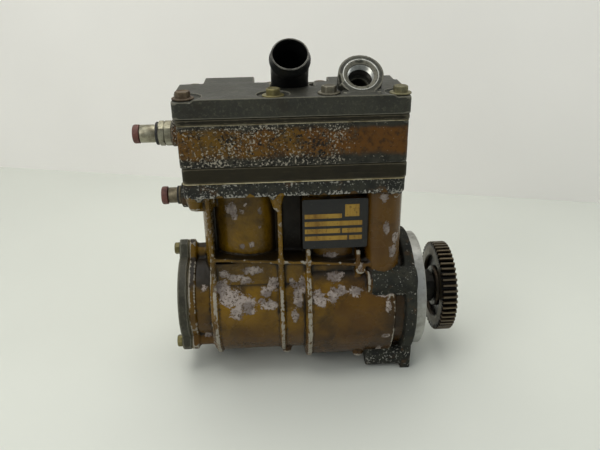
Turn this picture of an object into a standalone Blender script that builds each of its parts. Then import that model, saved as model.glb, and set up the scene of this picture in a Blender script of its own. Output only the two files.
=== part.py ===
"""Two-cylinder water-cooled reciprocating air compressor with a gear-driven crankshaft.

Lengths are metres. The functions below take bench coordinates: x runs along the crankshaft
from the middle of the cylinder head, y runs from front (-) to back (+), and z is the height
above the crankshaft axis. place() turns them into world coordinates, whose origin is on the
floor under the middle of the machine.
"""
import math

import bmesh
import bpy
from mathutils import Matrix, Vector

# ---------------------------------------------------------------- driving dimensions
GAP = 0.0003                 # clearance kept between touching pieces
HEAD_X = -0.015              # world x of the head's middle
AXIS_Z = 0.077               # height of the crankshaft axis above the floor

HEAD_DEPTH = 0.130
DECK = (-0.108, 0.1098)      # left and right ends of each layer of the stack
PLATE = (-0.1079, 0.1108)
HEAD = (-0.1091, 0.1104)
BAND = (-0.1100, 0.1110)
COVER = (-0.1116, 0.1116)
DECK_Z = (0.146, 0.1605)
GASKET_Z = (0.1608, 0.1615)
PLATE_Z = (0.1618, 0.1770)
HEAD_Z = (0.1773, 0.2182)
PAPER_Z = (0.2185, 0.2190)
BAND_Z = (0.2193, 0.2243)
COVER_Z = (0.2246, 0.2433)
COVER_BACK_Z = 0.231

CYLINDER_X = (-0.052, 0.042)
BORE_R = 0.037
LINER_R = 0.041
COLLAR_R = 0.0435
BARREL_R = 0.046
LINER_BOTTOM = 0.066
THROW = 0.018
ROD_LENGTH = 0.108
THROW_SIGN = (1, -1)         # first piston at the top of its stroke, second at the bottom

CASE_LEFT_R = 0.0633
CASE_RIGHT_R = 0.0726
CASE_X = (-0.092, 0.106)
CASE_STEP_X = 0.010
CAVITY_R = 0.057
CAVITY_X = (-0.084, 0.1003)
REAR_BEARING_R = 0.024
REAR_JOURNAL_R = 0.0175
FRONT_BEARING_R = 0.032
FRONT_JOURNAL_R = 0.020
CRANKPIN_R = 0.014

END_RING_X = (-0.1175, -0.110)
END_COVER_X = (-0.1289, -0.1183)
END_COVER_R = 0.0522
LOBES = ((0.0100, 0.0570), (-0.0370, -0.0370), (0.0221, -0.0474))    # y and z of the end-cover bolts
LOBE_R = 0.0105

FLANGE_X = (0.118, 0.130)
FLANGE_R = 0.072
FOOT_HALF_WIDTH = 0.055
PILOT_X = (0.1303, 0.1413)
PILOT_R = 0.0656
SPIGOT_R = 0.0577

GEAR_X = (0.1632, 0.1800)
GEAR_TEETH = 50
GEAR_MODULE = 0.002
GEAR_BORE_R = 0.015
NUT_END_X = 0.1845

# x, y and the height of the washer's seat
FRONT_BOLTS = ((-0.1014, -0.0505, 0.2410), (-0.0174, -0.0480, 0.2410),
               (0.0351, -0.0495, 0.2424), (0.1027, -0.0510, 0.2410))
FRONT_RECESS_R = (0.0170, 0.0155, 0.0121, 0.0150)
REAR_BOLTS = tuple((x, 0.050, 0.2265) for x, _, _ in FRONT_BOLTS)
REAR_RECESS_R = 0.0121
BOLT_TIP_Z = 0.1490
BOLT_R = 0.004
BOLT_HOLE_R = 0.0045
WASHER_R = 0.0105
HEX_R = 0.0075

PIPE_R = 0.0187
PIPE_WALL = 0.0018
PIPE_Y = -0.0035
PORT_X = 0.0657
PORT_FACE = (-0.045, 0.2588)     # y and z of the middle of the delivery port's face
PORT_R = 0.0215
PORT_BORE_R = 0.0125
TILT = math.radians(45)

FITTING_Y = -0.035
UPPER_FITTING_Z = 0.2050
LOWER_FITTING_Z = 0.1400
UPPER_NOSE = 0.0308
LOWER_NOSE = 0.0130

SIDES = 20                   # sides of a round piece of ordinary size


# ---------------------------------------------------------------- scene and materials
for old in list(bpy.data.objects):
    bpy.data.objects.remove(old, do_unlink=True)

PARTS = bpy.data.collections.new("reciprocating_air_compressor")
CUTTERS = bpy.data.collections.new("cutters")
for group in (PARTS, CUTTERS):
    bpy.context.scene.collection.children.link(group)


def material(name, color, roughness, metallic):
    mat = bpy.data.materials.new(name)
    mat.use_nodes = True
    shader = mat.node_tree.nodes["Principled BSDF"]
    shader.inputs["Base Color"].default_value = (*color, 1)
    shader.inputs["Roughness"].default_value = roughness
    shader.inputs["Metallic"].default_value = metallic
    mat.diffuse_color = (*color, 1)
    return mat


OCHRE = material("ochre_paint", (0.115, 0.060, 0.010), 0.5, 0.0)
CORRODED = material("corroded_casting", (0.045, 0.035, 0.022), 0.7, 0.0)
DARK_ALLOY = material("dark_alloy", (0.032, 0.033, 0.024), 0.55, 0.3)
BROWN_ALLOY = material("brown_alloy", (0.025, 0.020, 0.011), 0.5, 0.3)
PALE_GASKET = material("gasket_paper", (0.25, 0.22, 0.15), 0.8, 0.0)
BLACK_STEEL = material("black_steel", (0.008, 0.009, 0.009), 0.4, 0.6)
ZINC = material("zinc_plate", (0.16, 0.13, 0.06), 0.4, 0.8)
STEEL = material("machined_steel", (0.35, 0.35, 0.34), 0.3, 1.0)
GEAR_STEEL = material("gear_steel", (0.03, 0.028, 0.022), 0.35, 0.9)
BRIGHT_ALLOY = material("bright_alloy", (0.60, 0.60, 0.58), 0.35, 0.9)
BRONZE = material("bearing_bronze", (0.40, 0.25, 0.10), 0.35, 1.0)
RED_CAP = material("red_brown_cap", (0.10, 0.03, 0.02), 0.6, 0.0)
LABEL = material("label_black", (0.02, 0.018, 0.008), 0.5, 0.0)


# ---------------------------------------------------------------- helpers
def place(x, y, z):
    return Vector((HEAD_X + x, y, AXIS_Z + z))


def add_object(name, data, mat=None):
    """A piece goes with the parts when it has a material, and with the cutters when not."""
    obj = bpy.data.objects.new(name, data)
    if mat is None:
        CUTTERS.objects.link(obj)
        obj.hide_render = True
        obj.display_type = "WIRE"
    else:
        PARTS.objects.link(obj)
        obj.data.materials.append(mat)
    return obj


def mesh_object(name, bm, mat=None):
    bmesh.ops.recalc_face_normals(bm, faces=bm.faces)
    mesh = bpy.data.meshes.new(name)
    bm.to_mesh(mesh)
    bm.free()
    mesh.shade_smooth()
    mesh.set_sharp_from_angle(angle=math.radians(35))
    return add_object(name, mesh, mat)


def box(name, x, y, z, mat=None, corner=0.0, segments=3):
    """A box given by its spans; corner rounds its upright edges."""
    bm = bmesh.new()
    size = Vector((x[1] - x[0], y[1] - y[0], z[1] - z[0]))
    bmesh.ops.create_cube(bm, size=1.0, matrix=Matrix.Diagonal((*size, 1)))
    if corner:
        upright = [e for e in bm.edges if abs(e.verts[0].co.z - e.verts[1].co.z) > size.z / 2]
        bmesh.ops.bevel(bm, geom=upright, offset=corner, segments=segments, profile=0.5, affect="EDGES")
    obj = mesh_object(name, bm, mat)
    obj.location = place((x[0] + x[1]) / 2, (y[0] + y[1]) / 2, (z[0] + z[1]) / 2)
    return obj


def rod_between(name, radius, start, end, mat=None, sides=SIDES, end_radius=None):
    """A round bar from one bench point to another, or a cone where the end radius differs."""
    first, last = place(*start), place(*end)
    bm = bmesh.new()
    bmesh.ops.create_cone(
        bm, cap_ends=True, segments=sides, radius1=radius,
        radius2=radius if end_radius is None else end_radius, depth=(last - first).length,
    )
    obj = mesh_object(name, bm, mat)
    obj.rotation_euler = (last - first).to_track_quat("Z", "Y").to_euler()
    obj.location = (first + last) / 2
    return obj


def turned(name, profile, centre, axis, mat=None, sides=SIDES):
    """A lathe shape: the profile is (radius, height) pairs down its outer side, closed at the end."""
    mesh = bpy.data.meshes.new(name)
    count = len(profile)
    on_axis = profile[0][0] == 0 and profile[-1][0] == 0
    edges = [(i, i + 1) for i in range(count - 1)]
    if not on_axis:
        edges.append((count - 1, 0))
    mesh.from_pydata([(r, 0, h) for r, h in profile], edges, [])
    obj = add_object(name, mesh, mat)
    screw = obj.modifiers.new("turn", "SCREW")
    screw.steps = screw.render_steps = sides
    screw.use_merge_vertices = True
    screw.merge_threshold = 0.00001
    screw.use_smooth_shade = False
    obj.rotation_euler = Vector(axis).to_track_quat("Z", "Y").to_euler()
    obj.location = place(*centre)
    return obj


def bored(name, outer, inner, x, mat, sides=SIDES):
    """A plain ring along the crankshaft."""
    half = (x[1] - x[0]) / 2
    profile = [(outer, half), (outer, -half), (inner, -half), (inner, half)]
    return turned(name, profile, ((x[0] + x[1]) / 2, 0, 0), (1, 0, 0), mat, sides)


def circle(radius, centre=(0, 0), sides=16):
    return [
        (centre[0] + radius * math.cos(2 * math.pi * i / sides),
         centre[1] + radius * math.sin(2 * math.pi * i / sides))
        for i in range(sides)
    ]


def arc(radius, start, stop, steps, centre=(0, 0)):
    angles = [math.radians(start + (stop - start) * i / steps) for i in range(steps + 1)]
    return [(centre[0] + radius * math.cos(a), centre[1] + radius * math.sin(a)) for a in angles]


def slab(name, loops, span, mat=None, origin=(0, 0), level=False):
    """Flat outlines, the first one filled less the others.

    They lie in the y-z plane and are thick along x, or in the x-y plane and thick along z when level.
    """
    curve = bpy.data.curves.new(name, "CURVE")
    curve.dimensions = "2D"
    curve.fill_mode = "BOTH"
    curve.extrude = (span[1] - span[0]) / 2
    for loop in loops:
        spline = curve.splines.new("POLY")
        spline.points.add(len(loop) - 1)
        for point, (first, second) in zip(spline.points, loop):
            point.co = (first, second, 0, 1)
        spline.use_cyclic_u = True
    flat = bpy.data.objects.new(name, curve)
    bpy.context.scene.collection.objects.link(flat)
    mesh = bpy.data.meshes.new_from_object(flat.evaluated_get(bpy.context.evaluated_depsgraph_get()))
    bpy.data.objects.remove(flat, do_unlink=True)
    bm = bmesh.new()
    bm.from_mesh(mesh)
    bmesh.ops.remove_doubles(bm, verts=bm.verts, dist=0.00001)
    bmesh.ops.dissolve_limit(bm, angle_limit=math.radians(0.5), verts=bm.verts, edges=bm.edges)
    obj = mesh_object(name, bm, mat)
    middle = (span[0] + span[1]) / 2
    if level:
        obj.location = place(*origin, middle)
    else:
        turn = Matrix(((0, 0, 1), (1, 0, 0), (0, 1, 0))).to_4x4()
        obj.matrix_world = Matrix.Translation(place(middle, *origin)) @ turn
    return obj


def stacked(name, sections, origin, axis, mat=None, sides=8):
    """A loft through round or six-sided sections: (height, radius, is_hexagon, offset y, offset z)."""
    bm = bmesh.new()
    rings = []
    for height, radius, hexagon, side, up in sections:
        ring = []
        for i in range(sides):
            reach = radius * (math.cos(math.pi / 6) if hexagon and i % 2 else 1)
            turn = 2 * math.pi * i / sides
            ring.append(bm.verts.new((side + reach * math.cos(turn), up + reach * math.sin(turn), height)))
        rings.append(ring)
    for low, high in zip(rings, rings[1:]):
        for i in range(sides):
            j = (i + 1) % sides
            bm.faces.new((low[i], low[j], high[j], high[i]))
    bm.faces.new(reversed(rings[0]))
    bm.faces.new(rings[-1])
    obj = mesh_object(name, bm, mat)
    obj.rotation_euler = Vector(axis).to_track_quat("Z", "Y").to_euler()
    obj.location = place(*origin)
    return obj


def combine(target, operation, *tools):
    for tool in tools:
        step = target.modifiers.new(tool.name, "BOOLEAN")
        step.operation = operation
        step.solver = "EXACT"
        step.object = tool


def join(target, *tools):
    combine(target, "UNION", *tools)


def cut(target, *tools):
    combine(target, "DIFFERENCE", *tools)


def along_tilt(point, distance):
    """A point in the y-z plane moved down and back along the forward tilt of the port."""
    return (point[0] + distance * math.sin(TILT), point[1] - distance * math.cos(TILT))


# ---------------------------------------------------------------- cutters that several pieces share
BOLT_PLACES = [(x, y) for x, y, _ in FRONT_BOLTS + REAR_BOLTS]


def stack_holes(prefix, z):
    return [
        rod_between(f"{prefix}_bolt_hole_{i}", BOLT_HOLE_R, (x, y, z[0] - 0.001),
                    (x, y, z[1] + 0.001), sides=8)
        for i, (x, y) in enumerate(BOLT_PLACES)
    ]


COOLANT_PLACES = [(x, y) for x in (-0.060, 0.069) for y in (-0.052, 0.052)]


def coolant_holes(prefix, z):
    return [
        rod_between(f"{prefix}_coolant_{i}", 0.005, (x, y, z[0] - 0.001), (x, y, z[1] + 0.001), sides=8)
        for i, (x, y) in enumerate(COOLANT_PLACES)
    ]


# ---------------------------------------------------------------- crankcase block
def lobed_outline(radius, steps=54):
    """A circle with a round lobe at each end-cover bolt."""
    points = []
    for i in range(steps):
        turn = 2 * math.pi * i / steps
        reach = radius
        for y, z in LOBES:
            centre = math.hypot(y, z)
            off = turn - math.atan2(z, y)
            side = centre * math.sin(off)
            if abs(side) < LOBE_R and math.cos(off) > 0:
                reach = max(reach, centre * math.cos(off) + math.sqrt(LOBE_R ** 2 - side ** 2))
        points.append((reach * math.cos(turn), reach * math.sin(turn)))
    return points


def flange_outline():
    """A round flange that runs down into a straight-sided foot."""
    low = math.degrees(math.asin(math.sqrt(FLANGE_R ** 2 - FOOT_HALF_WIDTH ** 2) / FLANGE_R))
    return [(FOOT_HALF_WIDTH, -AXIS_Z)] + arc(FLANGE_R, -low, 180 + low, 28) + [(-FOOT_HALF_WIDTH, -AXIS_Z)]


RIBS = (                     # x, disc radius round the crankcase, top height of the upright web
    (-0.0865, 0.0668, 0.150),
    (-0.0150, 0.0668, 0.150),
    (0.0140, 0.0752, 0.080),
    (0.0665, 0.0, 0.078),
)
COLUMN_R = 0.0185
EAR = (0.0530, 0.0400)       # y and z of the bolt lugs beside the flange
FOOT = (0.0415, -0.0630)
RIB_THICK = 0.0045
RIB_FRONT = 0.0565
SHELF = ((-0.0860, 0.0735), (0.0800, 0.0610))    # x and z of the ends of the sloping rib


def crankcase_block():
    block = rod_between("crankcase_block", CASE_LEFT_R, (CASE_X[0], 0, 0),
                        (CASE_STEP_X + 0.002, 0, 0), OCHRE, 28)
    half = HEAD_DEPTH / 2
    join(block, rod_between("case_right", CASE_RIGHT_R, (CASE_STEP_X, 0, 0), (CASE_X[1], 0, 0), sides=32))
    join(block, box("lower_block", (-0.086, 0.084), (-0.050, 0.050), (0.0, 0.066)))
    join(block, box("upper_block", (-0.086, 0.098), (-0.030, 0.030), (0.045, 0.148)))
    for i, x in enumerate(CYLINDER_X):
        join(block, rod_between(f"barrel_{i}", BARREL_R, (x, 0, 0.040), (x, 0, 0.1475), sides=28))
    for side in (-1, 1):
        join(block, rod_between(f"column_{side}", COLUMN_R, (0.093, side * 0.042, 0.040),
                                (0.093, side * 0.042, 0.148)))
    join(block, box("label_pad", (0.009, 0.075), (-0.0512, -0.020), (0.083, 0.134), corner=0.003))
    for i, (x, radius, top) in enumerate(RIBS):
        span = (x - RIB_THICK / 2, x + RIB_THICK / 2)
        low = 0.0 if radius else 0.045
        join(block, box(f"rib_web_{i}", span, (-RIB_FRONT, RIB_FRONT), (low, top)))
        if radius:
            join(block, rod_between(f"rib_disc_{i}", radius, (span[0] - 0.0002, 0, 0),
                                    (span[1] + 0.0002, 0, 0), sides=28))
    (left, left_z), (right, right_z) = SHELF
    shelf = box("shelf_rib", (left, right), (-0.0562, 0.0562), (-0.002, 0.002))
    shelf.location = place((left + right) / 2, 0, (left_z + right_z) / 2)
    shelf.rotation_euler = (0, math.atan2(left_z - right_z, right - left), 0)
    join(block, shelf)
    join(block, box("deck", DECK, (-half, half), DECK_Z, corner=0.005))
    join(block, rod_between("lower_fitting_boss", 0.0128, (-0.1135, FITTING_Y, LOWER_FITTING_Z),
                            (-0.080, FITTING_Y, LOWER_FITTING_Z), sides=20))
    join(block, box("fitting_lug", (-0.106, -0.082), (-0.050, -0.020), (0.1265, 0.148), corner=0.006))
    # left end: neck, ring with lobes, and a short web behind each lobe
    join(block, rod_between("neck", 0.044, (END_RING_X[0] + 0.002, 0, 0), (-0.0863, 0, 0), sides=28))
    join(block, slab("end_ring", [lobed_outline(0.0500)], END_RING_X))
    for i, (y, z) in enumerate(LOBES):
        join(block, rod_between(f"lobe_web_{i}", 0.0075, (END_RING_X[0] + 0.001, y * 0.97, z * 0.97),
                                (-0.0881, y * 0.97, z * 0.97), sides=8))
    # right end: neck, mounting flange, its ears and its feet
    join(block, rod_between("flange_neck", 0.0640, (CASE_X[1] - 0.002, 0, 0),
                            (FLANGE_X[0] + 0.002, 0, 0), sides=28))
    join(block, slab("mounting_flange", [flange_outline()], FLANGE_X))
    for side in (-1, 1):
        for name, radius, start, (y, z) in (("ear", 0.0145, 0.0760, EAR),
                                            ("foot_boss", 0.0135, 0.0790, FOOT)):
            join(block, rod_between(f"{name}_{side}", radius, (start, side * y, z),
                                    (FLANGE_X[1] - 0.0004, side * y, z), sides=16))
        join(block, box(f"ear_rib_{side}", (0.098, 0.104), sorted((side * 0.060, side * 0.069)),
                        (0.004, 0.032)))
    join(block, box("rear_foot", (-0.098, -0.062), (0.006, 0.044), (-AXIS_Z, -0.030), corner=0.006))
    # hollows
    cut(block, rod_between("crank_cavity", CAVITY_R, (CAVITY_X[0], 0, 0), (CAVITY_X[1], 0, 0), sides=28))
    # the opening's flat sides have to clear the round spigot, hence the wider gap
    cut(block, rod_between("front_opening", SPIGOT_R + 0.0007, (0.1000, 0, 0), (0.135, 0, 0), sides=28))
    cut(block, rod_between("rear_bearing_seat", REAR_BEARING_R + GAP, (-0.125, 0, 0), (-0.080, 0, 0)))
    for i, x in enumerate(CYLINDER_X):
        cut(block, rod_between(f"liner_seat_{i}", LINER_R + GAP, (x, 0, 0.030), (x, 0, 0.165), sides=28))
        cut(block, rod_between(f"liner_collar_{i}", COLLAR_R + GAP, (x, 0, 0.1565), (x, 0, 0.165), sides=28))
    cut(block, *[
        rod_between(f"deck_thread_{i}", BOLT_HOLE_R, (x, y, 0.1475), (x, y, 0.165), sides=8)
        for i, (x, y) in enumerate(BOLT_PLACES)
    ])
    cut(block, *[
        rod_between(f"end_thread_{i}", 0.0036, (-0.120, y, z), (-0.095, y, z), sides=8)
        for i, (y, z) in enumerate(LOBES)
    ])
    for side in (-1, 1):
        for name, (y, z) in (("ear_hole", EAR), ("foot_hole", FOOT)):
            cut(block, rod_between(f"{name}_{side}", 0.0055, (0.090, side * y, z),
                                   (0.135, side * y, z), sides=8))
    cut(block, rod_between("lower_fitting_seat", 0.0085 + GAP, (-0.118, FITTING_Y, LOWER_FITTING_Z),
                           (-0.100, FITTING_Y, LOWER_FITTING_Z), sides=16))
    return block


crankcase_block()


# ---------------------------------------------------------------- cylinder liners
for number, x in enumerate(CYLINDER_X, 1):
    top = DECK_Z[1] - 0.0002
    collar = 0.1568
    turned(f"cylinder_liner_{number}",
           [(COLLAR_R, top), (COLLAR_R, collar), (LINER_R, collar), (LINER_R, LINER_BOTTOM),
            (BORE_R, LINER_BOTTOM), (BORE_R, top)],
           (x, 0, 0), (0, 0, 1), STEEL, 24)


# ---------------------------------------------------------------- head stack
def layer(name, x, z, mat, corner=0.005):
    half = HEAD_DEPTH / 2
    piece = box(name, x, (-half, half), z, mat, corner=corner)
    cut(piece, *stack_holes(name, z))
    return piece


def head_gasket():
    piece = layer("head_gasket", (DECK[0] + 0.0005, DECK[1] - 0.0005), GASKET_Z, PALE_GASKET)
    for i, x in enumerate(CYLINDER_X):
        cut(piece, rod_between(f"gasket_bore_{i}", 0.0385, (x, 0, 0.160), (x, 0, 0.163), sides=24))
    cut(piece, *coolant_holes("gasket", GASKET_Z))


REED_LENGTH = 0.036
REED_HALF = 0.007
REED_THICK = 0.0006
INTAKE_REED_Y = 0.015
DELIVERY_REED_Y = -0.015
INTAKE_REED_Z = PLATE_Z[0] + 0.0030
DELIVERY_REED_Z = PLATE_Z[1] - 0.0036


def valve_plate():
    plate = layer("valve_plate", PLATE, PLATE_Z, BROWN_ALLOY)
    for i, x in enumerate(CYLINDER_X):
        lower, upper = PLATE_Z
        span = (x - 0.021, x + 0.021)
        cut(plate, box(f"intake_recess_{i}", span, (0.0065, 0.0235), (lower - 0.001, lower + 0.0042)))
        cut(plate, box(f"delivery_recess_{i}", span, (-0.0235, -0.0065), (upper - 0.0042, upper + 0.001)))
        for y in (INTAKE_REED_Y, DELIVERY_REED_Y):
            for k in (0, 1):
                at = (x + 0.002 + 0.011 * k, y)
                cut(plate, rod_between(f"port_{i}_{k}_{y}", 0.0038, (*at, lower - 0.001),
                                       (*at, upper + 0.001), sides=8))
    cut(plate, *coolant_holes("plate", PLATE_Z))


def reeds():
    """Thin steel strips; each origin is at the clamped end it bends from."""
    for number, x in enumerate(CYLINDER_X, 1):
        for kind, y, z in (("intake", INTAKE_REED_Y, INTAKE_REED_Z),
                           ("delivery", DELIVERY_REED_Y, DELIVERY_REED_Z)):
            half = REED_THICK / 2
            reed = box(f"{kind}_reed_{number}", (x - 0.0185, x + 0.0175), (y - REED_HALF, y + REED_HALF),
                       (z - half, z + half), STEEL, corner=0.004)
            root = place(x - 0.0185, y, z)
            reed.data.transform(Matrix.Translation(reed.location - root))
            reed.location = root


CHAMBER_Y = (0.004, 0.026)
JACKET_Y = (0.037, 0.060)
JACKETS = ((-0.092, -0.029), (0.046, 0.091))


def head_body():
    head = layer("head_body", HEAD, HEAD_Z, CORRODED)
    join(head, rod_between("upper_fitting_boss", 0.0131, (-0.1165, FITTING_Y, UPPER_FITTING_Z),
                           (-0.1070, FITTING_Y, UPPER_FITTING_Z), sides=20))
    for side in (-1, 1):
        chamber = sorted(side * y for y in CHAMBER_Y)
        jacket = sorted(side * y for y in JACKET_Y)
        cut(head, box(f"chamber_{side}", (-0.096, 0.096), chamber, (0.170, 0.225)))
        for k, x in enumerate(JACKETS):
            cut(head, box(f"jacket_{side}_{k}", x, jacket, (0.170, 0.213)))
    cut(head, rod_between("upper_fitting_seat", 0.0085 + GAP, (-0.120, FITTING_Y, UPPER_FITTING_Z),
                          (-0.098, FITTING_Y, UPPER_FITTING_Z), sides=16))
    cut(head, rod_between("coolant_outlet", 0.005, (-0.100, FITTING_Y - 0.002, UPPER_FITTING_Z),
                          (-0.080, FITTING_Y - 0.002, UPPER_FITTING_Z), sides=8))


def windows(piece, prefix, z):
    through = (z[0] - 0.001, z[1] + 0.001)
    cut(piece, box(f"{prefix}_intake_window", (-0.090, 0.026), (0.006, 0.025), through))
    cut(piece, box(f"{prefix}_delivery_window", (0.044, 0.090), (-0.026, -0.006), through))


def upper_layers():
    paper = layer("cover_gasket", (HEAD[0] + 0.0004, HEAD[1] - 0.0004), PAPER_Z, PALE_GASKET)
    windows(paper, "paper", PAPER_Z)
    windows(layer("intermediate_plate", BAND, BAND_Z, DARK_ALLOY), "band", BAND_Z)


def head_cover():
    """A thick cover cut low along its back and behind the pipe, with the delivery port's boss."""
    half = HEAD_DEPTH / 2
    top = COVER_Z[1]
    cover = box("head_cover", COVER, (-half, half), (COVER_Z[0], top), DARK_ALLOY, corner=0.005)
    beyond = 0.130
    low_area = [
        (-beyond, 0.008), (-0.088, 0.008), (-0.088, 0.039), (-0.036, 0.039), (-0.036, 0.008), (-0.020, 0.008),
        (-0.020, -0.017), (0.024, -0.017), (0.024, 0.006), (0.040, 0.006), (0.040, 0.028), (0.108, 0.028),
        (0.108, 0.006), (beyond, 0.006), (beyond, 0.080), (-beyond, 0.080),
    ]
    cut(cover, slab("low_area", [low_area], (COVER_BACK_Z, top + 0.010), level=True))
    cut(cover, *stack_holes("cover", (0.222, 0.250)))
    join(cover, rod_between("pipe_collar", 0.0232, (0, PIPE_Y, 0.228), (0, PIPE_Y, 0.2365)))
    for name, radius, depth in (("port_boss", PORT_R, 0.0230), ("port_neck", 0.0137, 0.0335)):
        back, front = along_tilt(PORT_FACE, depth), along_tilt(PORT_FACE, depth - 0.0230)
        join(cover, rod_between(name, radius, (PORT_X, *back), (PORT_X, *front), sides=24))
    join(cover, box("port_root", (PORT_X - 0.0178, PORT_X + 0.0178), (-0.0598, -0.020),
                    (0.230, 0.2452), corner=0.003))
    cut(cover, box("intake_plenum", (-0.088, 0.024), (-0.022, 0.027), (0.220, 0.2275), corner=0.004))
    cut(cover, box("delivery_plenum", (0.045, 0.089), (-0.030, -0.005), (0.220, 0.236), corner=0.004))
    cut(cover, rod_between("pipe_seat", PIPE_R + GAP, (0, PIPE_Y, 0.222), (0, PIPE_Y, 0.262), sides=20))
    cut(cover, rod_between("pipe_relief", PIPE_R + 0.0010, (0, PIPE_Y - 0.001, 0.2378),
                           (0, PIPE_Y - 0.001, 0.262)))
    mouth = along_tilt(PORT_FACE, -0.002)
    thread_end = along_tilt(PORT_FACE, 0.020)
    deep_end = along_tilt(PORT_FACE, 0.038)
    cut(cover, rod_between("port_thread", PORT_BORE_R, (PORT_X, *thread_end), (PORT_X, *mouth), sides=20))
    cut(cover, rod_between("port_duct", 0.009, (PORT_X, *deep_end), (PORT_X, *mouth), sides=16))
    chamfer_end = along_tilt(PORT_FACE, 0.003)
    cut(cover, rod_between("port_chamfer", PORT_BORE_R - 0.0005, (PORT_X, *chamfer_end), (PORT_X, *mouth),
                           sides=20, end_radius=0.0165))
    recesses = FRONT_RECESS_R + (REAR_RECESS_R,) * len(REAR_BOLTS)
    for i, ((x, y, seat), radius) in enumerate(zip(FRONT_BOLTS + REAR_BOLTS, recesses)):
        cut(cover, rod_between(f"bolt_recess_{i}", radius, (x, y, seat), (x, y, seat + 0.022), sides=16))


head_gasket()
valve_plate()
reeds()
head_body()
upper_layers()
head_cover()


# ---------------------------------------------------------------- fasteners
def hex_bolt(name, origin, axis, grip, shank=BOLT_R, washer=WASHER_R, hexagon=HEX_R, height=0.0058, mat=ZINC):
    """Bolt with a captive washer; the washer's face lies at the origin and the shank points back."""
    sections = [(-grip, shank - 0.0006, False, 0, 0), (-grip + 0.0008, shank, False, 0, 0),
                (0, shank, False, 0, 0)]
    if washer:
        sections += [(0, washer, False, 0, 0), (0.0016, washer, False, 0, 0)]
        base = 0.0016
    else:
        base = 0
    sections += [(base, hexagon, True, 0, 0), (base + height - 0.001, hexagon, True, 0, 0),
                 (base + height, hexagon * 0.88, True, 0, 0)]
    return stacked(name, sections, origin, axis, mat)


for row, bolts in (("front", FRONT_BOLTS), ("rear", REAR_BOLTS)):
    for number, (x, y, seat) in enumerate(bolts, 1):
        hex_bolt(f"head_bolt_{row}_{number}", (x, y, seat + GAP), (0, 0, 1), seat + GAP - BOLT_TIP_Z)
for number, (y, z) in enumerate(LOBES, 1):
    hex_bolt(f"end_cover_bolt_{number}", (END_COVER_X[0] - GAP, y, z), (-1, 0, 0), 0.030,
             shank=0.003, washer=0, hexagon=0.0072, height=0.0055)


# ---------------------------------------------------------------- pipe, fittings, caps and label
def inlet_pipe():
    """A hose tail that rises from the cover and bends forward, with a bead near its mouth."""
    bend = 0.030
    start, elbow, straight = 0.2262, 0.2376, 0.0257
    path = [(PIPE_Y, start, 1.0)]
    steps = 6
    for i in range(steps + 1):
        turn = TILT * i / steps
        path.append((PIPE_Y - bend * (1 - math.cos(turn)), elbow + bend * math.sin(turn), 1.0))
    y, z, _ = path[-1]
    mean = PIPE_R - PIPE_WALL / 2
    for reach, swell in ((0.0100, 0.0), (0.0125, 0.0006), (0.0150, 0.0014), (0.0180, 0.0014),
                         (0.0210, 0.0), (straight, -0.0006)):
        path.append((y - reach * math.sin(TILT), z + reach * math.cos(TILT), 1 + swell / mean))
    curve = bpy.data.curves.new("inlet_pipe", "CURVE")
    curve.dimensions = "3D"
    curve.bevel_depth = mean
    curve.bevel_resolution = 6
    spline = curve.splines.new("POLY")
    spline.points.add(len(path) - 1)
    for point, (py, pz, swell) in zip(spline.points, path):
        point.co = (0, py, pz, 1)
        point.radius = swell
    guide = bpy.data.objects.new("inlet_pipe", curve)
    bpy.context.scene.collection.objects.link(guide)
    mesh = bpy.data.meshes.new_from_object(guide.evaluated_get(bpy.context.evaluated_depsgraph_get()))
    bpy.data.objects.remove(guide, do_unlink=True)
    bm = bmesh.new()
    bm.from_mesh(mesh)
    bmesh.ops.remove_doubles(bm, verts=bm.verts, dist=0.00001)
    pipe = mesh_object("inlet_pipe", bm, BLACK_STEEL)
    pipe.location = place(0, 0, 0)
    wall = pipe.modifiers.new("wall", "SOLIDIFY")
    wall.thickness = PIPE_WALL
    wall.offset = 0


def bored_fitting(name, x, z, sections, nose):
    """A fitting turned along -x, with its through bore."""
    fitting = stacked(name, sections, (x, FITTING_Y, z), (-1, 0, 0), BRIGHT_ALLOY)
    cut(fitting, rod_between(f"{name}_bore", 0.0055, (x - nose - 0.001, FITTING_Y, z),
                             (x + 0.012, FITTING_Y, z), sides=8))


def upper_fitting():
    """A hexagon fitting with a spigot into the casting, a seal and a hollow pipe nose, capped."""
    x = -0.1165 - GAP
    hexagon = 0.0125
    sections = [(-0.010, 0.0082, False, 0, 0), (0, 0.0082, False, 0, 0), (0, 0.0125, True, 0, 0),
                (hexagon - 0.0005, 0.0125, True, 0, 0), (hexagon, 0.0118, True, 0, 0),
                (hexagon, 0.0100, False, 0, 0), (hexagon + 0.003, 0.0100, False, 0, 0),
                (hexagon + 0.003, 0.0088, False, 0, 0), (UPPER_NOSE, 0.0088, False, 0, 0)]
    bored_fitting("coolant_fitting_upper", x, UPPER_FITTING_Z, sections, UPPER_NOSE)
    plug_cap("plug_cap_upper", x - GAP - UPPER_NOSE, UPPER_FITTING_Z)


def plug_cap(name, x, z):
    """A moulded cap over the open end of a fitting, with a stem that stops its bore."""
    sections = [(-0.008, 0.0050, False, 0, 0), (0, 0.0050, False, 0, 0), (0, 0.0092, False, 0, 0),
                (0.0050, 0.0092, False, 0, 0), (0.0065, 0.0078, False, 0, 0)]
    stacked(name, sections, (x, FITTING_Y, z), (-1, 0, 0), RED_CAP)


def lower_fitting():
    """A plain push-in spigot, with no hexagon, capped like the upper one."""
    sections = [(-0.010, 0.0082, False, 0, 0), (0, 0.0082, False, 0, 0), (0, 0.0095, False, 0, 0),
                (0.002, 0.0095, False, 0, 0), (0.002, 0.0080, False, 0, 0), (LOWER_NOSE, 0.0080, False, 0, 0)]
    x = -0.1135 - GAP
    bored_fitting("coolant_fitting_lower", x, LOWER_FITTING_Z, sections, LOWER_NOSE)
    plug_cap("plug_cap_lower", x - GAP - LOWER_NOSE, LOWER_FITTING_Z)


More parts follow.
